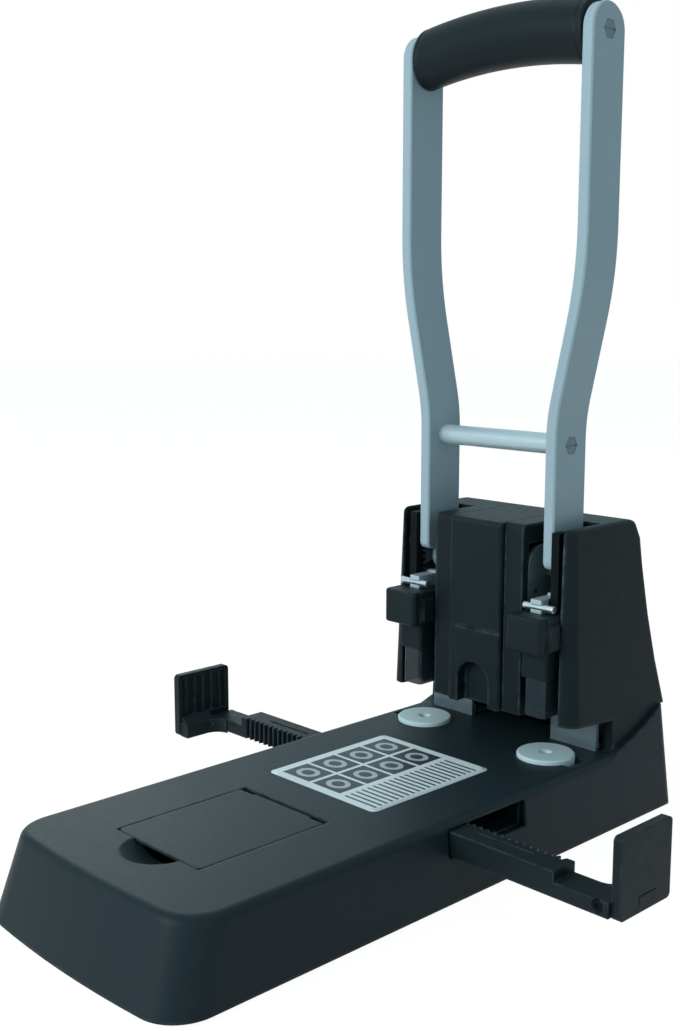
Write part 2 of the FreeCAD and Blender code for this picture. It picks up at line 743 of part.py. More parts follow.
def stop_plate(side, frame):
    # plate on edge with a shelf at its foot that sweeps into the arm, and a shallow ribbed inner face
    reach, thick, rim = frame["reach"], worth("stop_thickness"), worth("stop_rim")
    near = frame["outer"] + worth("stop_inset")
    far = near + worth("stop_length")
    floor, top = frame["low"] - 1, worth("stop_height")
    plate = bar_from((reach, near, floor), (reach + thick, far, top))
    corners = [edge for edge in plate.Edges if is_along(edge, Vector(1, 0, 0))]
    plate = plate.makeFillet(worth("stop_corner"), corners)
    shelf, shelf_top_z = worth("stop_shelf"), frame["end_top"]
    sweep = 8
    inner = frame["inner"]
    start_bend, end_bend = Vector(reach - shelf, inner + sweep, 0), Vector(reach - shelf - sweep, inner, 0)
    bend = sweep * (1 - math.sqrt(0.5))
    middle = Vector(reach - shelf - bend, inner + bend, 0)
    path = [Vector(reach - shelf - sweep, inner, 0), Vector(reach, inner, 0), Vector(reach, far - 1, 0)]
    path += [Vector(reach - shelf, far - 1, 0), start_bend]
    edges = Part.makePolygon(path).Edges + [Part.Arc(start_bend, middle, end_bend).toShape()]
    shelf_face = Part.Face(Part.Wire(edges))
    foot = shelf_face.extrude(Vector(0, 0, shelf_top_z - floor))
    foot.translate(Vector(0, 0, floor))
    corner = Vector(reach, 0, shelf_top_z)
    three = [corner, corner + Vector(-3, 0, 0), corner + Vector(0, 0, 3), corner]
    cove = Part.Face(Part.makePolygon(three)).extrude(Vector(0, far - 2 * rim - inner, 0))
    cove.translate(Vector(0, inner + rim, 0))
    recess = bar_from((reach - 1, near + rim, shelf_top_z + 3), (reach + 1.2, far - rim, top - rim))
    plate = plate.cut(recess).fuse([foot, cove])
    ribs = []
    count = round(worth("stop_ribs"))
    for number in range(1, count + 1):
        along = near + number * (far - near) / (count + 1)
        rib_low = (reach + 0.6, along - 0.5, shelf_top_z + 3)
        ribs.append(bar_from(rib_low, (reach + 1.2, along + 0.5, top - rim)))
    plate = plate.fuse(ribs).removeSplitter()
    # fine line on the outer face: a long stroke and a short one down from its near end
    face = (reach + thick - 0.4, reach + thick + 1)
    long_stroke = bar_from((face[0], near + 12, floor + 6.5), (face[1], near + 24, floor + 7.3))
    short_stroke = bar_from((face[0], near + 12, floor + 3.4), (face[1], near + 12.8, floor + 7.3))
    hole = Part.makeCylinder(worth("guide_screw_radius"), 20, frame["screw"], Vector(0, 1, 0))
    plate = plate.cut(Part.makeCompound([long_stroke, short_stroke])).cut(hole)
    keep(shaped(named(side, "stop_plate"), plate, frame["turned"]))


def make_guide(side):
    # arm, plate and screw; the left set is the right one turned half round the pinion
    pitch_radius = worth("guide_module * guide_teeth / 2")
    frame = {
        "turned": Placement(Vector(0, worth("guide_place"), 0), Rotation(upright, 0 if side > 0 else 180)),
        "module": worth("guide_module"),
        "pitch_radius": pitch_radius,
        "outer": -worth("guide_out"),
        "inner": worth("guide_module") - pitch_radius,
        "low": worth("guide_low"),
        "high": worth("guide_high"),
        "end_top": worth("guide_high - guide_step"),
        "tail": -worth("guide_tail"),
        "reach": worth("guide_reach - stop_thickness"),
        "step": worth("guide_reach - guide_end"),
    }
    frame["screw"] = Vector(frame["reach"] - 5, frame["outer"], frame["end_top"] - 2.6)
    guide_arm(side, frame)
    stop_plate(side, frame)
    radius, length = worth("guide_screw_radius"), frame["inner"] - frame["outer"] + 4
    shank = Part.makeCylinder(radius, length, frame["screw"], Vector(0, 1, 0))
    head = Part.makeCylinder(worth("guide_screw_head"), head_sink, frame["screw"], Vector(0, 1, 0))
    socket = Part.makeCylinder(1.1, 0.6, frame["screw"], Vector(0, 1, 0))
    whole = shank.fuse(head).removeSplitter().cut(socket)
    keep(shaped(named(side, "plate_screw"), whole, frame["turned"]))


def make_guide_train():
    # tray that carries both arms, the pinion between them and its axle
    body = start("guide_tray")
    half = f"({base_half('guide_low', 'wall')} - 3 * gap)"
    inner = "(guide_out + slide_gap)"
    outer = f"({inner} + tray_wall)"
    floor = ("(guide_low - slide_gap - tray_floor)", "(guide_low - slide_gap)")
    rail_top = "(guide_high + 1.5 * gap)"
    # half of the cross-section: foot, wall and rail, then its mirror image
    right = [(inner, floor[0]), (inner, plate_top), (outer, plate_top), (outer, rail_top), (inner, rail_top)]
    right += [(inner, floor[1])]
    profile = [(f"guide_place + {across}", up) for across, up in right]
    profile += [(f"guide_place - {across}", up) for across, up in reversed(right)]
    prism(body, "Pad", "YZ_Plane", *wide(half), profile)
    through = (f"{floor[0]} - 1", f"{floor[1]} + 1")
    round_form(body, "Pocket", "XY_Plane", *through, "0", "guide_place", "disc_pin_radius")
    length = f"guide_high + gap - {floor[0]}"
    keep(cylinder("pinion_axle", "disc_pin_radius", length, ("0", "guide_place", floor[0])))

    teeth = round(worth("guide_teeth"))
    tall = worth("guide_high - guide_low - gap")
    gear = gear_face(worth("guide_module"), teeth, 0, teeth - 1).extrude(Vector(0, 0, tall))
    bore = Part.makeCylinder(worth("disc_pin_radius + running_gap"), tall)
    groove_low = Vector(0, 0, tall - 2)
    relief = Part.makeCylinder(8, 2, groove_low).cut(Part.makeCylinder(4, 2, groove_low))
    spot = Placement(Vector(0, worth("guide_place"), worth("guide_low")), Rotation())
    keep(shaped("guide_pinion", gear.cut(bore).cut(relief), spot))


def make_discs():
    # turnable cutting boards under the punches, each on a pin, with a dished rim round its hole
    bore = "(disc_pin_radius + running_gap)"
    for side in (-1, 1):
        body = start(named(side, "cutting_disc"))
        half = [(bore, "0"), ("disc_radius", "0"), ("disc_radius", "disc_thickness - 0.6")]
        half += [("disc_radius - 0.6", "disc_thickness"), (f"{bore} + 1.2", "disc_thickness")]
        half += [(bore, "disc_thickness - 0.7")]
        turned_form(body, "XZ_Plane", half, "V_Axis")
        centre = f"{side} * hole_spacing / 2"
        bottom = "(deck_height + disc_rise - disc_thickness)"
        place_at(body, (centre, "punch_place", bottom))
        pin_place = (centre, "punch_place", f"{bottom} - 7")
        keep(cylinder(named(side, "disc_pin"), "disc_pin_radius", "disc_thickness + 5.8", pin_place))


# Tower: the housing over both heads, the nose between them, and the steel brackets inside.
def back_outline(inset, low):
    # back of the tower from its top down, flaring ever faster towards the base
    top_back = f"({cheek_front} + tower_top_depth - {inset})"
    corners = [(top_back, f"(tower_height - {inset})")]
    for share in (0.1, 0.25, 0.5, 0.75, 1):
        flare = f"(tower_crown + (tower_flare - tower_crown) * {0.38 * share + 0.62 * share * share})"
        corners.append((f"{top_back} + {flare}", f"{low} + {1 - share} * (tower_height - {low})"))
    return corners


def make_tower():
    body = start("tower_cover")
    above = f"tower_height + {past}"
    before = f"{cheek_front} - {past}"
    side_profile = [(cheek_front, throat_roof), (cheek_front, "tower_height")]
    side_profile += back_outline("0", "shoulder_height")
    side_profile += [(f"{web_front} + seam_end", "shoulder_height")]
    side_profile += [(f"{web_front} + seam_turn", "deck_height + seam_lift")]
    side_profile += [(f"{web_front} + seam_start + 2", "deck_height + 0.7")]
    side_profile += [(f"{web_front} + seam_start + 2", f"{throat_roof} - 2.5")]
    half = "(tower_top_half + tower_lean * (tower_height - deck_height))"
    prism(body, "Pad", "YZ_Plane", *wide(half), side_profile)
    for side in (-1, 1):
        lean = [(f"{side} * tower_top_half", "tower_height"), (f"{side} * ({half} + {past})", "tower_height")]
        lean += [(f"{side} * ({half} + {past})", "deck_height"), (f"{side} * {half}", "deck_height")]
        prism(body, "Pocket", "XZ_Plane", before, f"{base_back} + {past}", lean)
    front, top = worth(cheek_front), worth("tower_height")
    side_x = worth("slot_inner + slot_outer") / 2

    def on_front_corner(edge):
        return is_along(edge, upright, 0.02) and is_near(mid(edge).y, front) and abs(mid(edge).x) > side_x

    def on_top_rim(edge):
        box = edge.BoundBox
        return box.ZMin > top - 0.5 and (abs(box.Center.x) > side_x or box.XLength > side_x)

    finish_edges(body, "Fillet", "tower_corner", on_front_corner)
    finish_edges(body, "Fillet", "tower_edge", on_top_rim)

    # one cavity for both heads, with a smaller one above it in the middle
    room_top = f"({flange_top} + 1.5)"
    room_back = f"({cheek_front} + tower_top_depth - tower_wall)"
    inside = [(flange_front, "deck_height - 1"), (flange_front, room_top), (room_back, room_top)]
    inside += back_outline("(tower_wall + 1)", "(deck_height - 1)")[2:]
    prism(body, "Pocket", "YZ_Plane", *wide(f"{bracket_outer} + 0.2"), inside)
    attic = corners_of((f"{flange_front} + 1", f"{room_back} - 1"), (flange_top, "tower_height - tower_wall"))
    prism(body, "Pocket", "YZ_Plane", *wide("slot_inner - 4"), attic)
    # slots for the two arms, open at the front and the top
    for side in (-1, 1):
        slot = either(side, "slot_inner", "slot_outer")
        block(body, "Pocket", slot, (before, f"{web_back}"), ("deck_height - 1", above))
    # bay for the nose: through the front wall and a shallow channel over the top
    bay = wide("nose_half_width + gap")
    block(body, "Pocket", bay, (before, f"{flange_front} + 2"), ("deck_height", above))
    channel = (before, f"{cheek_front} + tower_top_depth + {past}")
    block(body, "Pocket", bay, channel, ("tower_height - nose_strip", above))


def make_nose():
    # centre cover: a deep front with an arched recess, and a thin strip that runs back over the top
    body = start("centre_cover")
    front = "(punch_place - nose_reach)"
    back = f"({cheek_front} + tower_top_depth - 1.5)"
    strip = "(tower_height - nose_strip)"
    tail = f"({flange_front} + nose_strip)"
    side_profile = [(front, throat_roof), (front, "tower_height"), (back, "tower_height"), (back, strip)]
    side_profile += [(tail, strip), (tail, throat_roof)]
    prism(body, "Pad", "YZ_Plane", *wide("nose_half_width"), side_profile)
    nose, top = worth(front), worth("tower_height")

    def on_nose_edge(edge):
        centre = mid(edge)
        return is_near(centre.y, nose) and (is_along(edge, upright, 0.02) or is_near(centre.z, top))

    finish_edges(body, "Fillet", "nose_wall - gap", on_nose_edge)
    arch_top = f"({throat_roof} + arch_height)"
    crown = f"({arch_top} - arch_half_width)"
    deep = (f"{front} - 1", f"{flange_front} - 1")
    opening = corners_of(wide("arch_half_width"), (f"{throat_roof} - 1", crown))
    prism(body, "Pocket", "XZ_Plane", *deep, opening)
    round_form(body, "Pocket", "XZ_Plane", *deep, "0", crown, "arch_half_width")
    # hollow behind the front face, open to the back, and a fine seam across the front
    behind = (f"{front} + nose_wall", f"{flange_front} + {past}")
    inside_z = (f"{arch_top} + nose_wall", f"{strip} - 1.5")
    block(body, "Pocket", wide("nose_half_width - nose_wall"), behind, inside_z)
    seam = f"({throat_roof} + seam_drop)"
    groove = (f"{front} - 1", f"{front} + 0.7")
    block(body, "Pocket", wide("nose_half_width + 1"), groove, (seam, f"{seam} + 0.8"))


def make_bracket(side):
    # bent steel channel: two flanges with round shoulders, a web that stops the paper, a spring shelf
    body = start(named(side, "bracket"))
    edge = [(flange_front, throat_roof), (flange_front, flange_top), (web_back, flange_top)]
    edge += [(web_back, "deck_height"), (web_front, "deck_height"), (web_front, throat_roof)]
    low, high = either(side, bracket_inner, bracket_outer)
    prism(body, "Pad", "YZ_Plane", low, high, edge)
    front, top = worth(flange_front), worth(flange_top)

    def on_shoulder(edge):
        return is_near(mid(edge).z, top) and is_near(mid(edge).y, front)

    finish_edges(body, "Fillet", "flange_drop", on_shoulder)
    inner = either(side, "slot_inner", f"{bracket_outer} - flange_thickness")
    before = f"{flange_front} - 1"
    shelf_low = f"({shelf_top} - flange_thickness)"
    block(body, "Pocket", inner, (before, web_front), (shelf_top, "tower_height"))
    block(body, "Pocket", inner, (before, web_front), ("deck_height - 1", shelf_low))
    shelf_front = "punch_place + shelf_reach"
    block(body, "Pocket", inner, (before, shelf_front), (f"{shelf_low} - 1", f"{shelf_top} + 1"))
    opening = (f"{pivot_height} - 11", "tower_height")
    block(body, "Pocket", inner, (f"{web_front} - 1", f"{web_back} + 1"), opening)
    foot = (f"{web_back} - {sliver}", f"{web_back} + bracket_room - 3")
    block(body, "Pad", inner, foot, ("deck_height", "deck_height + flange_thickness"))
    through = (f"{low} - 1", f"{high} + 1")
    round_form(body, "Pocket", "YZ_Plane", *through, pivot_place, pivot_height, "shaft_radius")
    centre = f"({side} * hole_spacing / 2)"
    upper = ("deck_height + 5", f"{shelf_top} + 1")
    round_form(body, "Pocket", "XY_Plane", *upper, centre, rod_place, "spring_rod_radius")
    # rivet holes in both flanges, and screw holes in the foot
    for drop in (8, 24):
        spot = (f"{flange_front} + 7", f"{pivot_height} - {drop}")
        round_form(body, "Pocket", "YZ_Plane", *through, *spot, "rivet_radius")
    for turn in (-1, 1):
        spot = (f"{centre} + {turn} * bracket_screw_spread", f"{web_front} + bracket_screw_back")
        lower = ("deck_height - 1", "deck_height + flange_thickness + 1")
        round_form(body, "Pocket", "XY_Plane", *lower, *spot, "bracket_screw_radius")


def make_shaft():
    # one shaft through both brackets, and the screws that hold the brackets' feet down
    length = f"2 * {bracket_outer}"
    place = (f"-{bracket_outer}", pivot_place, pivot_height)
    keep(cylinder("pivot_shaft", "shaft_radius", length, place, along_x))
    head = ("2 * bracket_screw_radius - gap / 2", "1.6")
    screws = []
    for side in (-1, 1):
        for turn in (-1, 1):
            across = f"{side} * hole_spacing / 2 + {turn} * bracket_screw_spread"
            along = f"{web_front} + bracket_screw_back"
            low = (across, along, "deck_height - 1.5")
            high = (across, along, "deck_height + flange_thickness")
            name = f"bracket_screw_{len(screws)}"
            screws.append(screw(name, "bracket_screw_radius", "4", *head, low, high))
    group("bracket_screws", screws)


# Lever: two bent flat arms with a toothed sector each, a grip across the top and a rod below it.
def arm_path(side, shift):
    # one long edge of the bent bar: up, out through two tangent bends, then up again
    low_radius, high_radius = worth("low_bend"), worth("high_bend")
    lean = math.radians(worth("bend_angle"))
    drop = (low_radius + high_radius) * (1 - math.cos(lean))
    run = (worth("arm_spread") - drop) / math.sin(lean)
    x = worth("arm_inner") + shift
    z = worth("bend_start")

    def spot(across, up):
        return Vector(side * across, 0, up)

    def on_low(angle):
        return spot(x + low_radius * (1 - math.cos(angle)), z + low_radius * math.sin(angle))

    far_x = x + worth("arm_spread")
    far_z = z + (low_radius + high_radius) * math.sin(lean) + run * math.cos(lean)

    def on_high(angle):
        return spot(far_x - high_radius * (1 - math.cos(angle)), far_z - high_radius * math.sin(angle))

    return [
        Part.LineSegment(spot(x, worth(arm_bottom)), on_low(0)).toShape(),
        Part.Arc(on_low(0), on_low(lean / 2), on_low(lean)).toShape(),
        Part.LineSegment(on_low(lean), on_high(lean)).toShape(),
        Part.Arc(on_high(lean), on_high(lean / 2), on_high(0)).toShape(),
        Part.LineSegment(on_high(0), spot(far_x, worth(arm_top))).toShape(),
    ]


def hexagon(across_flats, length, x, y, z):
    # six-sided prism along X
    radius = across_flats / math.sqrt(3)
    turns = [math.radians(60 * number) for number in range(7)]
    corners = [Vector(x, y + radius * math.cos(turn), z + radius * math.sin(turn)) for turn in turns]
    return Part.Face(Part.makePolygon(corners)).extrude(Vector(length, 0, 0))


def make_arm(side):
    thick, depth = worth("arm_thickness"), worth("arm_depth")
    front, middle = worth(arm_front), worth(arm_middle)
    top, bottom = worth(arm_top), worth(arm_bottom)
    inner, outer = arm_path(side, 0), arm_path(side, thick)
    low_end = Part.LineSegment(outer[0].Vertexes[0].Point, inner[0].Vertexes[0].Point).toShape()
    high_end = Part.LineSegment(outer[-1].Vertexes[1].Point, inner[-1].Vertexes[1].Point).toShape()
    face = Part.Face(Part.Wire(Part.__sortEdges__(inner + outer + [low_end, high_end])))
    bar = face.extrude(Vector(0, depth, 0))
    bar.translate(Vector(0, front, 0))
    # round crown over the grip and round toe at the front
    crown = [edge for edge in bar.Edges if mid(edge).z > top - 1 and edge.BoundBox.YLength < 1]
    bar = bar.makeFillet(depth / 2 - 0.1, crown)
    toe = [edge for edge in bar.Edges if edge.BoundBox.ZMax < bottom + 0.1 and mid(edge).y < front + 1]
    bar = bar.makeFillet(4, [edge for edge in toe if edge.BoundBox.YLength < 0.1])
    # eye round the shaft
    low_x = worth("arm_inner") if side > 0 else -worth("arm_inner") - thick
    eye_place = Vector(low_x, worth(pivot_place), worth(pivot_height))
    across = Vector(1, 0, 0)
    bar = bar.fuse(Part.makeCylinder(2 * worth("shaft_radius"), thick, eye_place, across)).removeSplitter()
    bore = worth("shaft_radius + running_gap")
    bar = bar.cut(Part.makeCylinder(bore, 3 * thick, eye_place - across * thick, across))

    def on_long_edge(edge):
        return edge.Length > 20 and (mid(edge).y < front + 0.5 or mid(edge).y > front + depth - 0.5)

    bar = bar.makeChamfer(worth("arm_bevel"), [edge for edge in bar.Edges if on_long_edge(edge)])
    # hexagon seats and holes for the grip bolt and the rod screw
    hole_radius = worth("bolt_radius") + 0.1
    for height, inner_face in (("grip_height", high_inner), ("rod_height", "arm_inner")):
        height, face_x = worth(height), side * (worth(inner_face) + thick)
        seat = hexagon(worth("bolt_flats") + 0.1, 2.2 * side, face_x - 1.6 * side, middle, height)
        hole_start = Vector(face_x + side * thick, middle, height)
        hole = Part.makeCylinder(hole_radius, 3 * thick, hole_start, across * -side)
        bar = bar.cut(seat).cut(hole)
    keep(shaped(named(side, "lever_arm"), bar))


def make_sector(side):
    # toothed sector on the outer face of the arm, centred on the shaft
    teeth = round(worth("drive_teeth"))
    thick = worth("sector_thickness")
    needed = math.ceil((worth("lever_swing") + 38) / 360 * teeth)
    last = teeth // 2 + 1
    sector = gear_face(worth("drive_module"), teeth, last + 1 - needed, last).extrude(Vector(0, 0, thick))
    hub = Part.makeCylinder(2 * worth("shaft_radius") - 0.5, thick + 2.5)
    bore = Part.makeCylinder(worth("shaft_radius + running_gap"), thick + 3)
    sector = sector.fuse(hub).removeSplitter().cut(bore)
    if side < 0:
        sector = sector.mirror(Vector(), upright)
    # gear X points along +Y and gear Y up, so that angles count from the back over the top
    turn = Rotation(Vector(0, 1, 0), upright, Vector(1, 0, 0), "ZXY")
    face_x = worth("arm_inner + arm_thickness")
    spot = Vector(side * face_x, worth(pivot_place), worth(pivot_height))
    keep(shaped(named(side, "sector"), sector, Placement(spot, turn)))


def make_grip():
    # bowed oval grip: an ellipse swung about a far axis below it, cut flat at both ends and bored
    body = start("hand_grip")
    bow_radius = f"(({high_inner} * {high_inner} + grip_bow * grip_bow) / (2 * grip_bow))"
    sketch = sketch_on(body, "YZ_Plane", "0")
    centre = Vector(worth(arm_middle), worth("grip_height + grip_bow"), 0)
    major = centre + Vector(0, worth("grip_tall") / 2, 0)
    minor = centre - Vector(worth("grip_depth") / 2, 0, 0)
    sketch.addGeometry(Part.Ellipse(major, minor, centre))
    axis = body.newObject("PartDesign::Line", "grip_axis")
    axis.MapMode = "Deactivated"
    axis.Placement = Placement(Vector(), Rotation(upright, Vector(0, 1, 0)))
    bind(axis, "Placement.Base.z", f"grip_height + grip_bow - {bow_radius}")
    doc.recompute()
    bow = body.newObject("PartDesign::Revolution", "grip_bow_form")
    bow.Profile = sketch
    bow.ReferenceAxis = (axis, [""])
    bow.Midplane = True
    bind(bow, "Angle", f"2 * asin(({high_inner} + 2) / {bow_radius})")
    doc.recompute()
    end = f"({high_inner} - gap)"
    along = (f"{arm_middle} - grip_depth", f"{arm_middle} + grip_depth")
    up = ("grip_height - grip_tall", "grip_height + grip_tall")
    for side in (-1, 1):
        block(body, "Pocket", either(side, end, f"{end} + 8"), along, up)
    round_form(body, "Pocket", "YZ_Plane", *wide(high_inner), arm_middle, "grip_height", "rod_radius")


def make_bolts():
    # tube inside the grip and rod across the arms, each drilled and bolted through both arms
    thick, middle = worth("arm_thickness"), worth(arm_middle)
    radius, flats = worth("bolt_radius"), worth("bolt_flats")
    for tube_name, bolt_name, inner, height in (
        ("grip_tube", "grip_bolts", high_inner, "grip_height"),
        ("lever_cross_rod", "rod_screws", "arm_inner", "rod_height"),
    ):
        z = worth(height)
        bolts = []
        drills = []
        for side in (-1, 1):
            inner_x = side * worth(inner)
            inward = Vector(-side, 0, 0)
            head = hexagon(flats, 1.5 * side, inner_x + side * (thick - 1.6), middle, z)
            shank_end = Vector(inner_x + side * (thick - 0.5), middle, z)
            shank = Part.makeCylinder(radius, thick + 8, shank_end, inward)
            slot_x = inner_x + side * thick - 0.5
            slot = bar_from((slot_x, middle - 4.5, z - 0.45), (slot_x + 1, middle + 4.5, z + 0.45))
            bolts.append(head.fuse(shank).removeSplitter().cut(slot))
            drills.append(Part.makeCylinder(radius, 10, Vector(inner_x + 0.1 * side, middle, z), inward))
        keep(shaped(bolt_name, Part.makeCompound(bolts)))
        left_end = (f"-{inner}", arm_middle, height)
        whole = cylinder(tube_name + "_bar", "rod_radius", f"2 * {inner}", left_end, along_x)
        tube = doc.addObject("Part::Cut", tube_name)
        tube.Base = whole
        tube.Tool = shaped(tube_name + "_drills", Part.makeCompound(drills))
        keep(tube)


# Punching heads: what slides down on each side when the lever comes forward.
def across_head(side, half):
    # a span about the punch's own middle
    return f"({side} * hole_spacing / 2 - {half})", f"({side} * hole_spacing / 2 + {half})"


def make_holder(side):
    # flat shank with a tongue for the cross pin and a lug round the spring rod, and the pin itself
    body = start(named(side, "punch_holder"))
    shank = either(side, shank_inner, shank_outer)
    block(body, "Pad", shank, (shank_front, shank_back), (f"{collar_low} - 4", f"{knob_high} + 7.5"))
    tongue = (f"{shank_front} - cross_pin_ahead - 1.6", f"{shank_front} + {sliver}")
    block(body, "Pad", shank, tongue, (knob_high, f"{knob_high} + 6.5"))
    lug = (f"{shank_back} - {sliver}", f"{rod_place} + 5")
    block(body, "Pad", across_head(side, "5"), lug, (knob_low, f"{knob_low} + 5"))
    through = (f"{knob_low} - 1", f"{knob_low} + 6")
    hole = "spring_rod_radius + 3 * running_gap"
    round_form(body, "Pocket", "XY_Plane", *through, f"{side} * hole_spacing / 2", rod_place, hole)
    pin = (f"{shank_front} - cross_pin_ahead", f"{knob_high} + 2.8")
    span = either(side, f"{shank_inner} - 1", f"{shank_outer} + 1")
    round_form(body, "Pocket", "YZ_Plane", *span, *pin, "cross_pin_radius")
    ends = either(side, "hole_spacing / 2 - 8.5", "hole_spacing / 2 + 9")
    length = f"({ends[1]}) - ({ends[0]})"
    keep(cylinder(named(side, "cross_pin"), "cross_pin_radius", length, (ends[0], *pin), along_x))


def make_spring(side):
    # rod behind the shank, and the coil that lifts the head, wound in short straight lengths
    centre = f"{side} * hole_spacing / 2"
    rod_low = f"({shelf_top} - flange_thickness)"
    length = f"{pivot_height} - 13 - {rod_low}"
    keep(cylinder(named(side, "spring_rod"), "spring_rod_radius", length, (centre, rod_place, rod_low)))
    radius, wire = worth("spring_radius"), worth("spring_wire")
    rise = worth(f"{knob_low} - {shelf_top}") - 2 * wire - 0.1
    steps_a_turn = 12
    steps = round(worth("spring_turns")) * steps_a_turn
    path = []
    for step in range(steps + 1):
        turn = 2 * math.pi * step / steps_a_turn
        path.append(Vector(radius * math.cos(turn), radius * math.sin(turn), rise * step / steps))
    section = []
    for number in range(7):
        turn = math.radians(60 * number + 30)
        section.append(Vector(radius + wire * math.cos(turn), 0, wire * math.sin(turn)))
    corner_mode = 1  # mitred where two lengths meet
    coil = Part.makePolygon(path).makePipeShell([Part.makePolygon(section)], True, False, corner_mode)
    spot = Vector(worth(centre), worth(rod_place), worth(shelf_top) + wire + 0.05)
    keep(shaped(named(side, "return_spring"), coil, Placement(spot, Rotation())))


def make_cutter(side):
    # hollow cutter, open at its lower end, with a flat head
    body = start(named(side, "punch_cutter"))
    inner = "(cutter_radius - cutter_wall)"
    top = f"({knob_high} - {cutter_tip})"
    profile = [(inner, "0"), ("cutter_radius", "0.9"), ("cutter_radius", top)]
    profile += [("0", top), ("0", "cutter_bore"), (inner, "cutter_bore")]
    turned_form(body, "XZ_Plane", profile, "V_Axis")
    place_at(body, (f"{side} * hole_spacing / 2", "punch_place", cutter_tip))


def make_knob(side):
    # hollow block with a rounded front plate, a groove behind it and two finger tabs,
    # open at its back, its underside and behind its left side's front part
    body = start(named(side, "head_knob"))
    knob_front = "(punch_place - knob_reach)"
    left, right = across_head(side, "knob_half")
    block(body, "Pad", (left, right), (knob_front, shank_front), (knob_low, knob_high))
    front = worth(knob_front)
    finish_edges(body, "Fillet", "2.4", lambda edge: is_along(edge, upright) and is_near(mid(edge).y, front))
    finish_edges(body, "Fillet", "1.4", lambda edge: is_near(edge.BoundBox.YMin, front))
    for rim in ((left, f"{left} + 0.9"), (f"{right} - 0.9", right)):
        groove = (f"{knob_front} + 4", f"{knob_front} + 5.4")
        block(body, "Pocket", rim, groove, (f"{knob_low} - 1", f"{knob_high} + 1"))
    inside = (f"{knob_front} + 9.8", f"{shank_front} + 1")
    room = (f"{left} - knob_wall", f"{right} - knob_wall")
    block(body, "Pocket", room, inside, (f"{knob_low} - 1", f"{knob_high} - knob_wall"))
    top_hole = (f"{knob_high} - 4", f"{knob_high} + 1")
    centre = f"{side} * hole_spacing / 2"
    round_form(body, "Pocket", "XY_Plane", *top_hole, centre, "punch_place", "cutter_radius")
    tab_y = (f"{knob_front} + tab_behind", f"{knob_front} + tab_behind + tab_length")
    tab_z = (f"{knob_low} + 2", f"{knob_low} + 2 + tab_tall")
    left_tab = (f"{left} - tab_reach", f"{left} + {sliver}")
    right_tab = (f"{right} - {sliver}", f"{right} + tab_reach")
    for tab in (left_tab, right_tab):
        block(body, "Pad", tab, tab_y, tab_z)


def make_sleeves(side):
    # collar under the knob, and the clear guard that slides up inside it: each has three thin walls
    low = f"({cutter_tip} + 0.5)"
    guard_inset = "(collar_wall + guard_play)"
    guard_half, guard_reach = f"(collar_half - {guard_inset})", f"(collar_reach - {guard_inset})"
    guard_z, guard_back = (low, f"{low} + guard_tall"), f"({shank_front} - gap)"
    for name, half, reach, thick, heights, back in (
        ("head_collar", "collar_half", "collar_reach", "collar_wall", (collar_low, knob_low), shank_front),
        ("paper_guard", guard_half, guard_reach, "guard_wall", guard_z, guard_back),
    ):
        body = start(named(side, name))
        front = f"(punch_place - {reach})"
        block(body, "Pad", across_head(side, half), (front, back), heights)
        place = worth(front)

        def on_front_upright(edge):
            return is_along(edge, upright) and is_near(mid(edge).y, place)

        finish_edges(body, "Fillet", "2", on_front_upright)
        room = (f"{front} + {thick}", f"{back} + 1")
        above = (f"{heights[0]} - 1", f"{heights[1]} + 1")
        block(body, "Pocket", across_head(side, f"({half} - {thick})"), room, above)


def make_drive_rack(side):
    # driving rack on the outer side of the shank; its own X runs up, its teeth face the sector
    module = worth("drive_module")
    pitch_line = worth(f"{pivot_place} - drive_module * drive_teeth / 2")
    low, high = worth(f"{knob_high} + 0.5"), worth("tower_height - 2")
    pivot = worth(pivot_height)
    foot_x, bar_x = worth(shank_outer), worth("arm_inner + arm_thickness + gap")
    far_x = bar_x + worth("sector_thickness") - 0.6
    bar = bar_from((bar_x, pitch_line - 6, low), (far_x, pitch_line + module, high))
    foot = bar_from((foot_x, pitch_line - 6, low), (bar_x, pitch_line - 1.6, low + 6))
    spaces = rack_spaces(module, low - pivot + 4, high - pivot, 2 * worth("sector_thickness"))
    turn = Rotation(upright, Vector(0, -1, 0), Vector(1, 0, 0), "XYZ")
    spaces.Placement = Placement(Vector(bar_x - 2, pitch_line, pivot), turn)
    rack = bar.fuse(foot).removeSplitter().cut(spaces)
    if side < 0:
        rack = rack.mirror(Vector(), Vector(1, 0, 0))
    keep(shaped(named(side, "drive_rack"), rack))


def check_and_export():
    doc.recompute()
    failed = [item.Name for item in doc.Objects if {"Invalid", "Error"} & set(item.State)]
    failed += [item.Label for item in pieces if item.Shape.isNull() or not item.Shape.isValid()]
    if failed:
        raise RuntimeError("not sound: " + ", ".join(failed))
    os.makedirs("parts", exist_ok=True)
    for item in pieces:
        item.Shape.exportStep(f"parts/{item.Label}.step")
        print(item.Label, len(item.Shape.Solids), round(item.Shape.Volume))


make_base()
make_underside()
make_lid()
make_guide_train()
make_discs()
make_tower()
make_nose()
make_shaft()
for side in (1, -1):
    make_guide(side)
    make_bracket(side)
    make_arm(side)
    make_sector(side)
    make_holder(side)
    make_spring(side)
    make_cutter(side)
    make_knob(side)
    make_sleeves(side)
    make_drive_rack(side)
make_grip()
make_bolts()
check_and_export()
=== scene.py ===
import json
import math

import bpy
import numpy as np
from mathutils import Matrix, Vector


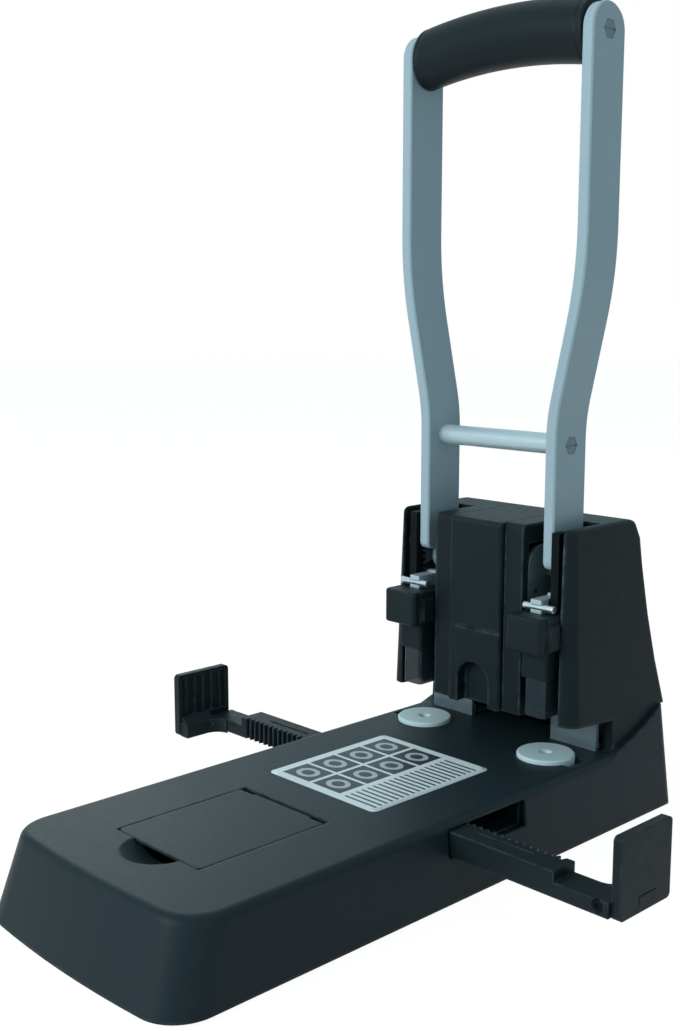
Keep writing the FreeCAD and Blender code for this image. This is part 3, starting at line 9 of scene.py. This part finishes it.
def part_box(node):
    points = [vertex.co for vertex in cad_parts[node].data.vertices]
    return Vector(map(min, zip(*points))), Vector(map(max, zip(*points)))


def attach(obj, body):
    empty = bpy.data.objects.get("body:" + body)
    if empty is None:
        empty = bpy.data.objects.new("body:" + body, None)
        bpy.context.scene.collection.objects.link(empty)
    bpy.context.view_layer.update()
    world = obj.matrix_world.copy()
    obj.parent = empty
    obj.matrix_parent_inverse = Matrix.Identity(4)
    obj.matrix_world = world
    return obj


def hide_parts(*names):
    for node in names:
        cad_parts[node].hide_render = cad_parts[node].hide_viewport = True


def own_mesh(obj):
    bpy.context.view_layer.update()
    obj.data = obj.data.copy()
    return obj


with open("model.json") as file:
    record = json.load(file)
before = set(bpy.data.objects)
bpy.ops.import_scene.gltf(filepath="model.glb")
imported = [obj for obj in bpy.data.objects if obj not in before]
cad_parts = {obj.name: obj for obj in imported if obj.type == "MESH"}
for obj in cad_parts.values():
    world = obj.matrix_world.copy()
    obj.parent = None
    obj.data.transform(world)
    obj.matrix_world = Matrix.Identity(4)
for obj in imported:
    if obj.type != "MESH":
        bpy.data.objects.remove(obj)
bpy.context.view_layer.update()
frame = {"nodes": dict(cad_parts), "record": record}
nodes = frame["nodes"]
print("frame loaded:", len(nodes), "nodes")


def addNode(tree, kind, **values):
    # a shader node with its inputs or fields set by name
    node = tree.nodes.new("ShaderNode" + kind)
    for key, value in values.items():
        if key in node.inputs:
            node.inputs[key].default_value = value
        else:
            setattr(node, key, value)
    return node


def noiseOn(tree, coords, scale, detail=3.0, stretch=(1, 1, 1)):
    # noise over the piece's own coordinates, which are first multiplied by stretch
    mapping = addNode(tree, "Mapping")
    mapping.inputs["Scale"].default_value = stretch
    tree.links.new(coords, mapping.inputs["Vector"])
    noise = addNode(tree, "TexNoise", Scale=scale, Detail=detail)
    tree.links.new(mapping.outputs["Vector"], noise.inputs["Vector"])
    return noise.outputs["Fac"]


def rangeOf(tree, value, low, high, fromLow=0.3, fromHigh=0.7):
    # a value carried from one span to another; most of a noise lies between 0.3 and 0.7
    span = addNode(tree, "MapRange")
    for name, number in (("From Min", fromLow), ("From Max", fromHigh), ("To Min", low), ("To Max", high)):
        span.inputs[name].default_value = number
    tree.links.new(value, span.inputs["Value"])
    return span.outputs["Result"]


def mixColours(tree, share, first, second):
    # the first colour where share is 0, the second where it is 1
    blend = addNode(tree, "Mix", data_type="RGBA")
    tree.links.new(share, blend.inputs["Factor"])
    for socket, colour in ((blend.inputs[6], first), (blend.inputs[7], second)):  # its sockets for colours
        if isinstance(colour, bpy.types.NodeSocket):
            tree.links.new(colour, socket)
        else:
            socket.default_value = (*colour, 1)
    return blend.outputs[2]


def mathOf(tree, operation, first, second=None):
    # one math node over sockets or plain numbers
    node = addNode(tree, "Math", operation=operation)
    for socket, value in zip(node.inputs, (first, second)):
        if isinstance(value, bpy.types.NodeSocket):
            tree.links.new(value, socket)
        elif value is not None:
            socket.default_value = value
    return node.outputs[0]


def both(tree, first, second):
    return mathOf(tree, "MULTIPLY", first, second)


def band(tree, value, low, high):
    # 1 between two numbers, 0 outside
    node = addNode(tree, "Math", operation="COMPARE")
    tree.links.new(value, node.inputs[0])
    node.inputs[1].default_value = (low + high) / 2
    node.inputs[2].default_value = (high - low) / 2
    return node.outputs[0]


def stepShare(tree, value, start, step):
    # how far a value is into its step, from 0 to 1, in steps counted from start
    return mathOf(tree, "FRACT", mathOf(tree, "DIVIDE", mathOf(tree, "SUBTRACT", value, start), step))


def edgeShare(tree, look):
    # how far a rounded normal departs from the true one: 0 on flats, 1 on edges
    bevel = addNode(tree, "Bevel", samples=look["edgeSamples"])
    bevel.inputs["Radius"].default_value = look["edgeRadius"]
    geometry = addNode(tree, "NewGeometry")
    dot = addNode(tree, "VectorMath", operation="DOT_PRODUCT")
    tree.links.new(bevel.outputs["Normal"], dot.inputs[0])
    tree.links.new(geometry.outputs["Normal"], dot.inputs[1])
    share = rangeOf(tree, dot.outputs["Value"], 1, 0, *look["edgeSpan"])
    return share, bevel.outputs["Normal"]


# what a finish takes where it doesn't say otherwise
plainLook = {"cloudDetail": 4, "wearAndHighlightScale": 160, "sheenScale": 240, "grainDetail": 2, "grainDepth": 0.0002,
             "edgeRadius": 0.0006, "edgeSpan": (0.86, 0.995), "edgeSamples": 4, "stretch": (1, 1, 1),
             "ior": 1.46, "metal": 0.0, "gloss": 0.5, "alpha": 1.0}


def makeFinish(name, ownLook):
    # base colour clouded by a broad noise, roughness by a finer one, grain as bump,
    # edges rounded in the normal and paler in patches: partly wear where hands and paper rub them,
    # partly a painted highlight, which is what the pale edges of the deck, tower and black plastics and the
    # clear guard are
    look = {**plainLook, **ownLook}
    material = bpy.data.materials.new(name)
    material.use_nodes = True
    tree = material.node_tree
    shader = tree.nodes["Principled BSDF"]
    coords = addNode(tree, "TexCoord").outputs["Object"]
    stretch = look["stretch"]
    cloud = rangeOf(tree, noiseOn(tree, coords, look["cloudScale"], look["cloudDetail"], stretch), 0, 1)
    colour = mixColours(tree, cloud, look["dark"], look["pale"])
    edge, rounded = edgeShare(tree, look)
    patches = rangeOf(tree, noiseOn(tree, coords, look["wearAndHighlightScale"]), 0, look["edgeWearAndHighlightShare"])
    # paler edges: a painted highlight on the deck, tower and black plastics and the clear guard, wear on
    # the rest
    colour = mixColours(tree, both(tree, edge, patches), colour, look["edgeWearAndHighlight"])
    tree.links.new(colour, shader.inputs["Base Color"])
    sheen = noiseOn(tree, coords, look["sheenScale"], stretch=stretch)
    tree.links.new(rangeOf(tree, sheen, *look["roughness"]), shader.inputs["Roughness"])
    grain = noiseOn(tree, coords, look["grainScale"], look["grainDetail"], stretch)
    bump = addNode(tree, "Bump", Strength=look["grain"], Distance=look["grainDepth"])
    tree.links.new(grain, bump.inputs["Height"])
    tree.links.new(rounded, bump.inputs["Normal"])
    tree.links.new(bump.outputs["Normal"], shader.inputs["Normal"])
    shader.inputs["IOR"].default_value = look["ior"]
    shader.inputs["Metallic"].default_value = look["metal"]
    shader.inputs["Specular IOR Level"].default_value = look["gloss"]
    shader.inputs["Alpha"].default_value = look["alpha"]
    return material


# the pale colour that edges turn to, and how much: a painted highlight for the deck, tower and black
# plastics and the clear guard, wear for the others
finishes = {
    "deckPlastic": dict(dark=(0.0118, 0.0212, 0.0258), pale=(0.0126, 0.0222, 0.0270),
                        edgeWearAndHighlight=(0.085, 0.120, 0.133), edgeWearAndHighlightShare=0.80, cloudScale=6, roughness=(0.42, 0.46),
                        grainScale=2200, grain=0.08, gloss=0.11, edgeRadius=0.0018),
    "towerPlastic": dict(dark=(0.0080, 0.0144, 0.0173), pale=(0.0088, 0.0154, 0.0185),
                         edgeWearAndHighlight=(0.100, 0.140, 0.155), edgeWearAndHighlightShare=0.90, cloudScale=9, roughness=(0.46, 0.54),
                         grainScale=2200, grain=0.10, gloss=0.10, edgeRadius=0.0022),
    "blackPlastic": dict(dark=(0.0092, 0.0156, 0.0186), pale=(0.0104, 0.0172, 0.0204),
                         edgeWearAndHighlight=(0.080, 0.115, 0.128), edgeWearAndHighlightShare=0.75, cloudScale=14, roughness=(0.42, 0.52),
                         grainScale=1800, grain=0.12, gloss=0.11, edgeRadius=0.0012),
    "gripPlastic": dict(dark=(0.0086, 0.0138, 0.0164), pale=(0.0104, 0.0162, 0.0190),
                        edgeWearAndHighlight=(0.030, 0.040, 0.046), edgeWearAndHighlightShare=0.15, cloudScale=12, roughness=(0.40, 0.48),
                        grainScale=1500, grain=0.14, gloss=0.10),
    "footRubber": dict(dark=(0.012, 0.012, 0.012), pale=(0.022, 0.022, 0.022),
                       edgeWearAndHighlight=(0.05, 0.05, 0.05), edgeWearAndHighlightShare=0.4, cloudScale=60, roughness=(0.7, 0.9),
                       grainScale=1200, grain=0.25, gloss=0.3),
    "leverPaint": dict(dark=(0.310, 0.408, 0.462), pale=(0.328, 0.429, 0.484),
                       edgeWearAndHighlight=(0.42, 0.52, 0.57), edgeWearAndHighlightShare=0.25, cloudScale=6, roughness=(0.36, 0.44),
                       grainScale=2600, grain=0.04, gloss=0.22),
    "bracketSteel": dict(dark=(0.120, 0.165, 0.190), pale=(0.165, 0.215, 0.240),
                         edgeWearAndHighlight=(0.34, 0.39, 0.41), edgeWearAndHighlightShare=0.4, cloudScale=30, roughness=(0.32, 0.44),
                         grainScale=900, grain=0.05, metal=0.4, stretch=(1, 1, 6)),
    "brightSteel": dict(dark=(0.500, 0.565, 0.600), pale=(0.620, 0.680, 0.710),
                        edgeWearAndHighlight=(0.78, 0.83, 0.85), edgeWearAndHighlightShare=0.4, cloudScale=50, roughness=(0.14, 0.26),
                        grainScale=1400, grain=0.03, metal=0.9),
    "rodSteel": dict(dark=(0.400, 0.500, 0.545), pale=(0.440, 0.540, 0.585),
                     edgeWearAndHighlight=(0.62, 0.69, 0.72), edgeWearAndHighlightShare=0.3, cloudScale=20, roughness=(0.30, 0.40),
                     grainScale=1400, grain=0.04, metal=0.25),
    "darkSteel": dict(dark=(0.030, 0.038, 0.044), pale=(0.055, 0.066, 0.074),
                      edgeWearAndHighlight=(0.20, 0.23, 0.24), edgeWearAndHighlightShare=0.6, cloudScale=40, roughness=(0.34, 0.50),
                      grainScale=900, grain=0.10, metal=0.5),
    # near-black steel, darker than every other finish here, for the drive racks and the plate screws
    "nearBlackSteel": dict(dark=(0.004, 0.006, 0.007), pale=(0.007, 0.010, 0.012),
                       edgeWearAndHighlight=(0.04, 0.05, 0.06), edgeWearAndHighlightShare=0.4, cloudScale=40, roughness=(0.40, 0.50),
                       grainScale=900, grain=0.08, gloss=0.06),
    "boltSteel": dict(dark=(0.110, 0.160, 0.188), pale=(0.140, 0.195, 0.225),
                      edgeWearAndHighlight=(0.33, 0.40, 0.43), edgeWearAndHighlightShare=0.5, cloudScale=60, roughness=(0.36, 0.48),
                      grainScale=1200, grain=0.05, metal=0.3),
    "discPlastic": dict(dark=(0.550, 0.700, 0.735), pale=(0.575, 0.725, 0.760),
                        edgeWearAndHighlight=(0.56, 0.66, 0.69), edgeWearAndHighlightShare=0.3, cloudScale=24, roughness=(0.48, 0.58),
                        grainScale=1700, grain=0.08, gloss=0.2),
    "clearPlastic": dict(dark=(0.022, 0.034, 0.041), pale=(0.030, 0.044, 0.052),
                         edgeWearAndHighlight=(0.10, 0.14, 0.16), edgeWearAndHighlightShare=0.2, cloudScale=40, roughness=(0.14, 0.18),
                         grainScale=300, grain=0.01, alpha=0.82, gloss=0.3, edgeRadius=0.0002),
}
materials = {name: makeFinish(name, look) for name, look in finishes.items()}
print("finishes made:", len(materials))


# CAD pieces keep their shape and take the finish of their slot, or one of their own
finishOfSlot = {
    "deck_plastic": "deckPlastic", "tower_plastic": "towerPlastic", "black_plastic": "blackPlastic",
    "grip_plastic": "gripPlastic", "foot_rubber": "footRubber", "lever_paint": "leverPaint",
    "bracket_steel": "bracketSteel", "bright_steel": "brightSteel", "dark_steel": "darkSteel",
    "disc_plastic": "discPlastic", "clear_guard": "clearPlastic",
}
finishOfNode = {"lever_cross_rod": "rodSteel", "grip_bolts": "boltSteel", "rod_screws": "boltSteel"}
for side in ("left", "right"):
    finishOfNode[side + "_drive_rack"] = "nearBlackSteel"
    finishOfNode[side + "_plate_screw"] = "nearBlackSteel"
    finishOfNode[side + "_punch_holder"] = "rodSteel"
for part in frame["record"]["subparts"]:
    node = part["node"]
    mesh = nodes[node].data
    mesh.materials.clear()
    mesh.materials.append(materials[finishOfNode.get(node, finishOfSlot[part["material_slot"]])])
print("CAD pieces dressed")


def middleOf(node):
    # middle of a CAD piece's box, to a tenth of a millimetre because its round faces are cut into flats
    low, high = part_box(node)
    return [round((first + last) / 2, 4) for first, last in zip(low, high)]


def sizeOf(node):
    # width, depth and height of a CAD piece's box, rounded the same way
    low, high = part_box(node)
    return [round(last - first, 4) for first, last in zip(low, high)]


def gridFaces(rows, columns, around=False):
    # quads between neighbours of a rows by columns grid, closed around if asked
    row, column = np.arange(rows - 1), np.arange(columns if around else columns - 1)
    row, column = (part.ravel() for part in np.meshgrid(row, column, indexing="ij"))
    near, far = row * columns, (row + 1) * columns
    nextColumn = (column + 1) % columns
    return np.stack((near + column, near + nextColumn, far + nextColumn, far + column), -1).tolist()


def meshOf(name, points, faces, material=None):
    # a smooth-shaded mesh at the origin
    mesh = bpy.data.meshes.new(name)
    mesh.from_pydata(points.tolist(), [], faces)
    mesh.polygons.foreach_set("use_smooth", np.full(len(mesh.polygons), True))
    mesh.update()
    piece = bpy.data.objects.new(name, mesh)
    bpy.context.scene.collection.objects.link(piece)
    if material:
        mesh.materials.append(materials[material])
    return piece


# the label's edges and its height over the floor, then its print: the gap and the ring are shares
# of a square, and barSpan is a share of barStep
label = {"left": -0.036, "right": 0.034, "front": -0.0245, "back": 0.053, "corner": 0.003,
         "deckTop": 0.037, "lift": 0.00002, "thick": 0.00014,
         "cornerSteps": 9, "lengthSteps": 14, "acrossSteps": 15,
         "margin": 0.0035, "frontMargin": 0.004, "rows": 4, "columns": 2, "squaresWide": 0.041,
         "gap": 0.05, "ringSpan": (0.17, 0.30),
         "barInset": 0.0025, "barStep": 0.0035, "barSpan": (0.2, 0.6),
         "paper": (0.68, 0.76, 0.78), "paperGain": 1.06, "dark": (0.020, 0.028, 0.032),
         "ring": (0.40, 0.48, 0.51), "bar": (0.055, 0.070, 0.078),
         "cloudScale": 120, "sheenScale": 300, "roughness": (0.30, 0.42),
         "grainScale": 900, "grain": 0.06, "grainDepth": 0.0001, "gloss": 0.2}


def makeLabelPrint(name, look):
    # pale paper with rows of dark squares, a plain ring in each, and bars beside them
    material = bpy.data.materials.new(name)
    material.use_nodes = True
    tree = material.node_tree
    shader = tree.nodes["Principled BSDF"]
    coords = addNode(tree, "TexCoord").outputs["Object"]
    split = addNode(tree, "SeparateXYZ")
    tree.links.new(coords, split.inputs[0])
    x, y = split.outputs["X"], split.outputs["Y"]

    left, right = look["left"] + look["margin"], look["right"] - look["margin"]
    low, high = look["front"] + look["frontMargin"], look["back"] - look["margin"]
    middle = left + look["squaresWide"]
    inRows = band(tree, y, low, high)
    inSquares = both(tree, band(tree, x, left, middle), inRows)
    across = stepShare(tree, x, left, look["squaresWide"] / look["columns"])
    up = stepShare(tree, y, low, (high - low) / look["rows"])
    inked = (look["gap"], 1 - look["gap"])
    square = both(tree, both(tree, band(tree, across, *inked), band(tree, up, *inked)), inSquares)
    fromX, fromY = mathOf(tree, "SUBTRACT", across, 0.5), mathOf(tree, "SUBTRACT", up, 0.5)
    away = mathOf(tree, "SQRT", mathOf(tree, "ADD", both(tree, fromX, fromX), both(tree, fromY, fromY)))
    ring = both(tree, band(tree, away, *look["ringSpan"]), square)
    inBars = both(tree, band(tree, x, middle + look["barInset"], right), inRows)
    bar = both(tree, band(tree, stepShare(tree, y, 0, look["barStep"]), *look["barSpan"]), inBars)

    cloud = rangeOf(tree, noiseOn(tree, coords, look["cloudScale"]), 0, 1)
    palest = tuple(part * look["paperGain"] for part in look["paper"])
    colour = mixColours(tree, cloud, look["paper"], palest)
    colour = mixColours(tree, bar, colour, look["bar"])
    colour = mixColours(tree, square, colour, look["dark"])
    colour = mixColours(tree, ring, colour, look["ring"])
    tree.links.new(colour, shader.inputs["Base Color"])
    sheen = noiseOn(tree, coords, look["sheenScale"])
    tree.links.new(rangeOf(tree, sheen, *look["roughness"]), shader.inputs["Roughness"])
    bump = addNode(tree, "Bump", Strength=look["grain"], Distance=look["grainDepth"])
    tree.links.new(noiseOn(tree, coords, look["grainScale"]), bump.inputs["Height"])
    tree.links.new(bump.outputs["Normal"], shader.inputs["Normal"])
    shader.inputs["Specular IOR Level"].default_value = look["gloss"]
    return material


def sheetSurface(name, sheet, material):
    # flat sheet with rounded corners: y runs front to back, and x = u * (half width - r + sqrt(r^2 - d^2)),
    # where d is how far y has gone into the corner's radius
    halfWidth, halfDepth = (sheet["right"] - sheet["left"]) / 2, (sheet["back"] - sheet["front"]) / 2
    radius = sheet["corner"]
    turn = np.linspace(-np.pi / 2, 0, sheet["cornerSteps"])
    low = -halfDepth + radius + radius * np.sin(turn)
    y = np.concatenate([low, np.linspace(low[-1], -low[-1], sheet["lengthSteps"])[1:-1], -low[::-1]])
    into = np.clip(np.abs(y) - (halfDepth - radius), 0, radius)
    reach = halfWidth - radius + np.sqrt(np.maximum(radius**2 - into**2, 0))
    across, y = np.meshgrid(np.linspace(-1, 1, sheet["acrossSteps"]), y, indexing="xy")
    x = across * reach[:, None] + (sheet["left"] + sheet["right"]) / 2
    y = y + (sheet["front"] + sheet["back"]) / 2
    points = np.stack([x, y, np.full_like(x, sheet["deckTop"] + sheet["lift"])], -1)
    piece = meshOf(name, points.reshape(-1, 3), gridFaces(*x.shape), material)
    wall = piece.modifiers.new("thickness", "SOLIDIFY")
    wall.thickness = sheet["thick"]
    wall.offset = 1.0
    return piece


materials["labelPrint"] = makeLabelPrint("labelPrint", label)
labelSheet = sheetSurface("deck_label", label, "labelPrint")
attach(labelSheet, "base")
print("label laid on the deck")


grip = {"bow": 0.0045, "tall": 0.029, "rim": 0.0012, "tubePlay": 0.0002,
        "grooveFromEnd": 0.0034, "grooveWide": 0.0004, "grooveDeep": 0.0005,
        "lengthSteps": 90, "rimSteps": 7, "roundSteps": 72}


def gripSurface(name, shape, material):
    # bowed oval on the tube, as long and as deep as the CAD grip: (x, z) = (R + b sin t)(sin p, cos p)
    # about a far centre, y = a cos t; p runs to where x meets the flat end, and a and b shrink
    # in the two grooves, round the rims and, on the end, to the tube's bore
    length, deep = sizeOf("hand_grip")[:2]
    half, rim = length / 2, shape["rim"]
    place, height = middleOf("grip_tube")[1:]
    bore = sizeOf("grip_tube")[2] / 2 + shape["tubePlay"]
    bend = np.linspace(0, np.pi / 2, shape["rimSteps"])
    endX = half - rim + rim * np.sin(bend)
    endLoss = rim - rim * np.cos(bend)
    bodyX = np.linspace(0, half - rim, shape["lengthSteps"])[:-1]
    fromGroove = (bodyX - half + shape["grooveFromEnd"]) / shape["grooveWide"]
    groove = np.exp(-(fromGroove**2)) * shape["grooveDeep"]
    x = np.concatenate([bodyX, endX, [half]])
    loss = np.concatenate([groove, endLoss, [shape["tall"] / 2 - bore]])
    x, loss = np.concatenate([-x[:0:-1], x]), np.concatenate([loss[:0:-1], loss])
    turn = np.linspace(0, 2 * np.pi, shape["roundSteps"], endpoint=False)
    halfDeep = np.maximum(deep / 2 - loss, bore)[:, None]
    halfTall = np.maximum(shape["tall"] / 2 - loss, bore)[:, None]
    farRadius = (half**2 + shape["bow"] ** 2) / (2 * shape["bow"])
    reach = farRadius + halfTall * np.sin(turn)
    swing = np.arcsin(x[:, None] / reach)
    y = place + halfDeep * np.cos(turn)
    z = height + shape["bow"] - farRadius + reach * np.cos(swing)
    points = np.stack([reach * np.sin(swing), y, z], -1)
    return meshOf(name, points.reshape(-1, 3), gridFaces(len(x), len(turn), True), material)


handGrip = gripSurface("smooth_grip", grip, "gripPlastic")
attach(handGrip, "lever")
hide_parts("hand_grip")
print("grip made")


spring = {"turns": 9.0, "closedTurns": 0.9, "wire": 0.00045, "radius": 0.0039,
          "bottom": 0.058, "top": 0.092, "squeezed": 0.435,
          "stepsATurn": 28, "roundSteps": 10, "tipSteps": 2, "tipShare": 0.02}


def coilSurface(name, shape, centre, material):
    # round wire carried along a helix: centre line (r cos q, r sin q, z(q)), where z climbs slowly
    # in the closed turns at both ends; the wire narrows to a capped point at its two tips
    steps = int(shape["turns"] * shape["stepsATurn"])
    turn = np.linspace(0, 2 * np.pi * shape["turns"], steps)
    wire = shape["wire"]
    share = turn / turn[-1]
    closed = shape["closedTurns"] / shape["turns"]
    ends = 2 * wire * shape["closedTurns"]
    tall = shape["top"] - shape["bottom"] - 2 * wire
    height = np.interp(share, [0, closed, 1 - closed, 1], [0, ends, tall - ends, tall])
    line = np.stack([shape["radius"] * np.cos(turn), shape["radius"] * np.sin(turn), height], -1)
    along = np.gradient(line, axis=0)
    along /= np.linalg.norm(along, axis=1, keepdims=True)
    outward = np.stack([np.cos(turn), np.sin(turn), np.zeros_like(turn)], -1)
    upward = np.cross(outward, along)
    fromTip = np.minimum(np.arange(steps), np.arange(steps)[::-1])
    thick = wire * np.clip(fromTip / shape["tipSteps"], shape["tipShare"], 1)
    around = np.linspace(0, 2 * np.pi, shape["roundSteps"], endpoint=False)
    ring = outward[:, None] * np.cos(around)[:, None] + upward[:, None] * np.sin(around)[:, None]
    points = line[:, None] + ring * thick[:, None, None]
    points += np.array([*centre, shape["bottom"] + wire])
    faces = gridFaces(steps, len(around), True)
    last = (steps - 1) * len(around)
    faces += [list(range(len(around)))[::-1], list(range(last, last + len(around)))]
    return meshOf(name, points.reshape(-1, 3), faces, material)


for side in ("left", "right"):
    centre = middleOf(side + "_spring_rod")[:2]
    coil = coilSurface(side + "_coil", spring, centre, "brightSteel")
    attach(coil, "base")
    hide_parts(side + "_return_spring")
    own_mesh(coil)
print("springs made")


camera = {"place": (0.41339, -0.40682, 0.25356), "turn": 0.8088, "dip": 0.1590, "focal": 1309.4,
          "tall": 1031, "film": 36, "nearest": 0.01}


def makeCamera():
    # focal is in pixels of a picture that is tall pixels high
    yaw, dip = camera["turn"], camera["dip"]
    ahead = Vector((-math.sin(yaw) * math.cos(dip), math.cos(yaw) * math.cos(dip), -math.sin(dip)))
    lens = bpy.data.cameras.new("camera")
    lens.sensor_fit = "VERTICAL"
    lens.sensor_height = camera["film"]
    lens.lens = camera["focal"] / camera["tall"] * camera["film"]
    lens.clip_start = camera["nearest"]
    eye = bpy.data.objects.new("camera", lens)
    turned = ahead.to_track_quat("-Z", "Y").to_matrix().to_4x4()
    eye.matrix_world = Matrix.Translation(camera["place"]) @ turned
    bpy.context.scene.collection.objects.link(eye)
    bpy.context.scene.camera = eye


studio = {"worldLight": 0.34, "worldColour": (0.72, 0.95, 1.0), "floorColour": (0.88, 0.89, 0.89),
          "floorRoughness": 0.9, "floorLift": 0.90, "floorGlow": 1.07, "floorRadius": 6.0,
          "floorHole": 0.02, "rings": 12, "spokes": 96}


def showsPlain(tree):
    # 1 for camera, glossy and transmission rays, which see the pale studio, and 0 for the light it gives
    path = addNode(tree, "LightPath")
    total = path.outputs["Is Camera Ray"]
    for ray in ("Is Glossy Ray", "Is Transmission Ray"):
        total = mathOf(tree, "MAXIMUM", total, path.outputs[ray])
    return total


def makeWorld():
    # white to the camera and faintly blue to all else; at full strength where it is seen, dimmer as light
    world = bpy.data.worlds.new("studio")
    bpy.context.scene.world = world
    world.use_nodes = True
    tree = world.node_tree
    background = tree.nodes["Background"]
    onCamera = addNode(tree, "LightPath").outputs["Is Camera Ray"]
    colour = mixColours(tree, onCamera, studio["worldColour"], (1, 1, 1))
    tree.links.new(colour, background.inputs["Color"])
    strength = rangeOf(tree, showsPlain(tree), studio["worldLight"], 1, 0, 1)
    tree.links.new(strength, background.inputs["Strength"])


def makeFloor():
    # a flat ring whose hole the part hides: (x, y) = (r cos t, r sin t);
    # it glows pale where it is seen, and what is left of its own colour keeps the shadow
    reach = np.linspace(studio["floorHole"], studio["floorRadius"], studio["rings"])
    circle = np.linspace(0, 2 * np.pi, studio["spokes"], endpoint=False)
    radius, turn = np.meshgrid(reach, circle, indexing="ij")
    points = np.stack([radius * np.cos(turn), radius * np.sin(turn), np.zeros_like(radius)], -1)
    faces = gridFaces(studio["rings"], studio["spokes"], True)
    floor = meshOf("floor", points.reshape(-1, 3), faces)
    finish = bpy.data.materials.new("floor")
    finish.use_nodes = True
    tree = finish.node_tree
    shader = tree.nodes["Principled BSDF"]
    shader.inputs["Base Color"].default_value = (*studio["floorColour"], 1)
    shader.inputs["Roughness"].default_value = studio["floorRoughness"]
    shader.inputs["Specular IOR Level"].default_value = 0.0
    glow = addNode(tree, "Emission", Strength=studio["floorGlow"])
    mix = addNode(tree, "MixShader")
    tree.links.new(both(tree, showsPlain(tree), studio["floorLift"]), mix.inputs[0])
    tree.links.new(shader.outputs[0], mix.inputs[1])
    tree.links.new(glow.outputs[0], mix.inputs[2])
    tree.links.new(mix.outputs[0], tree.nodes["Material Output"].inputs["Surface"])
    floor.data.materials.append(finish)


lights = {
    "key": {"place": (-0.45, -2.10, 0.95), "size": 1.2, "power": 38},
    "side": {"place": (2.00, -0.50, 0.80), "size": 1.2, "power": 2.5},
    "top": {"place": (-0.30, 0.20, 2.00), "size": 1.4, "power": 5},
    "rim": {"place": (-1.25, 0.55, 0.66), "size": 0.55, "power": 2.3},
}
lampColour = (0.90, 0.98, 1.00)
lampAim = (0, 0, 0.12)


def makeLamps():
    for name, lamp in lights.items():
        light = bpy.data.lights.new(name, "AREA")
        light.size = lamp["size"]
        light.energy = lamp["power"]
        light.color = lampColour
        item = bpy.data.objects.new(name, light)
        aim = Vector(lampAim) - Vector(lamp["place"])
        turned = aim.to_track_quat("-Z", "Y").to_matrix().to_4x4()
        item.matrix_world = Matrix.Translation(lamp["place"]) @ turned
        item.visible_camera = False
        bpy.context.scene.collection.objects.link(item)


makeCamera()
makeWorld()
makeFloor()
makeLamps()
bpy.context.scene.view_settings.view_transform = "Standard"
print("camera and studio set")
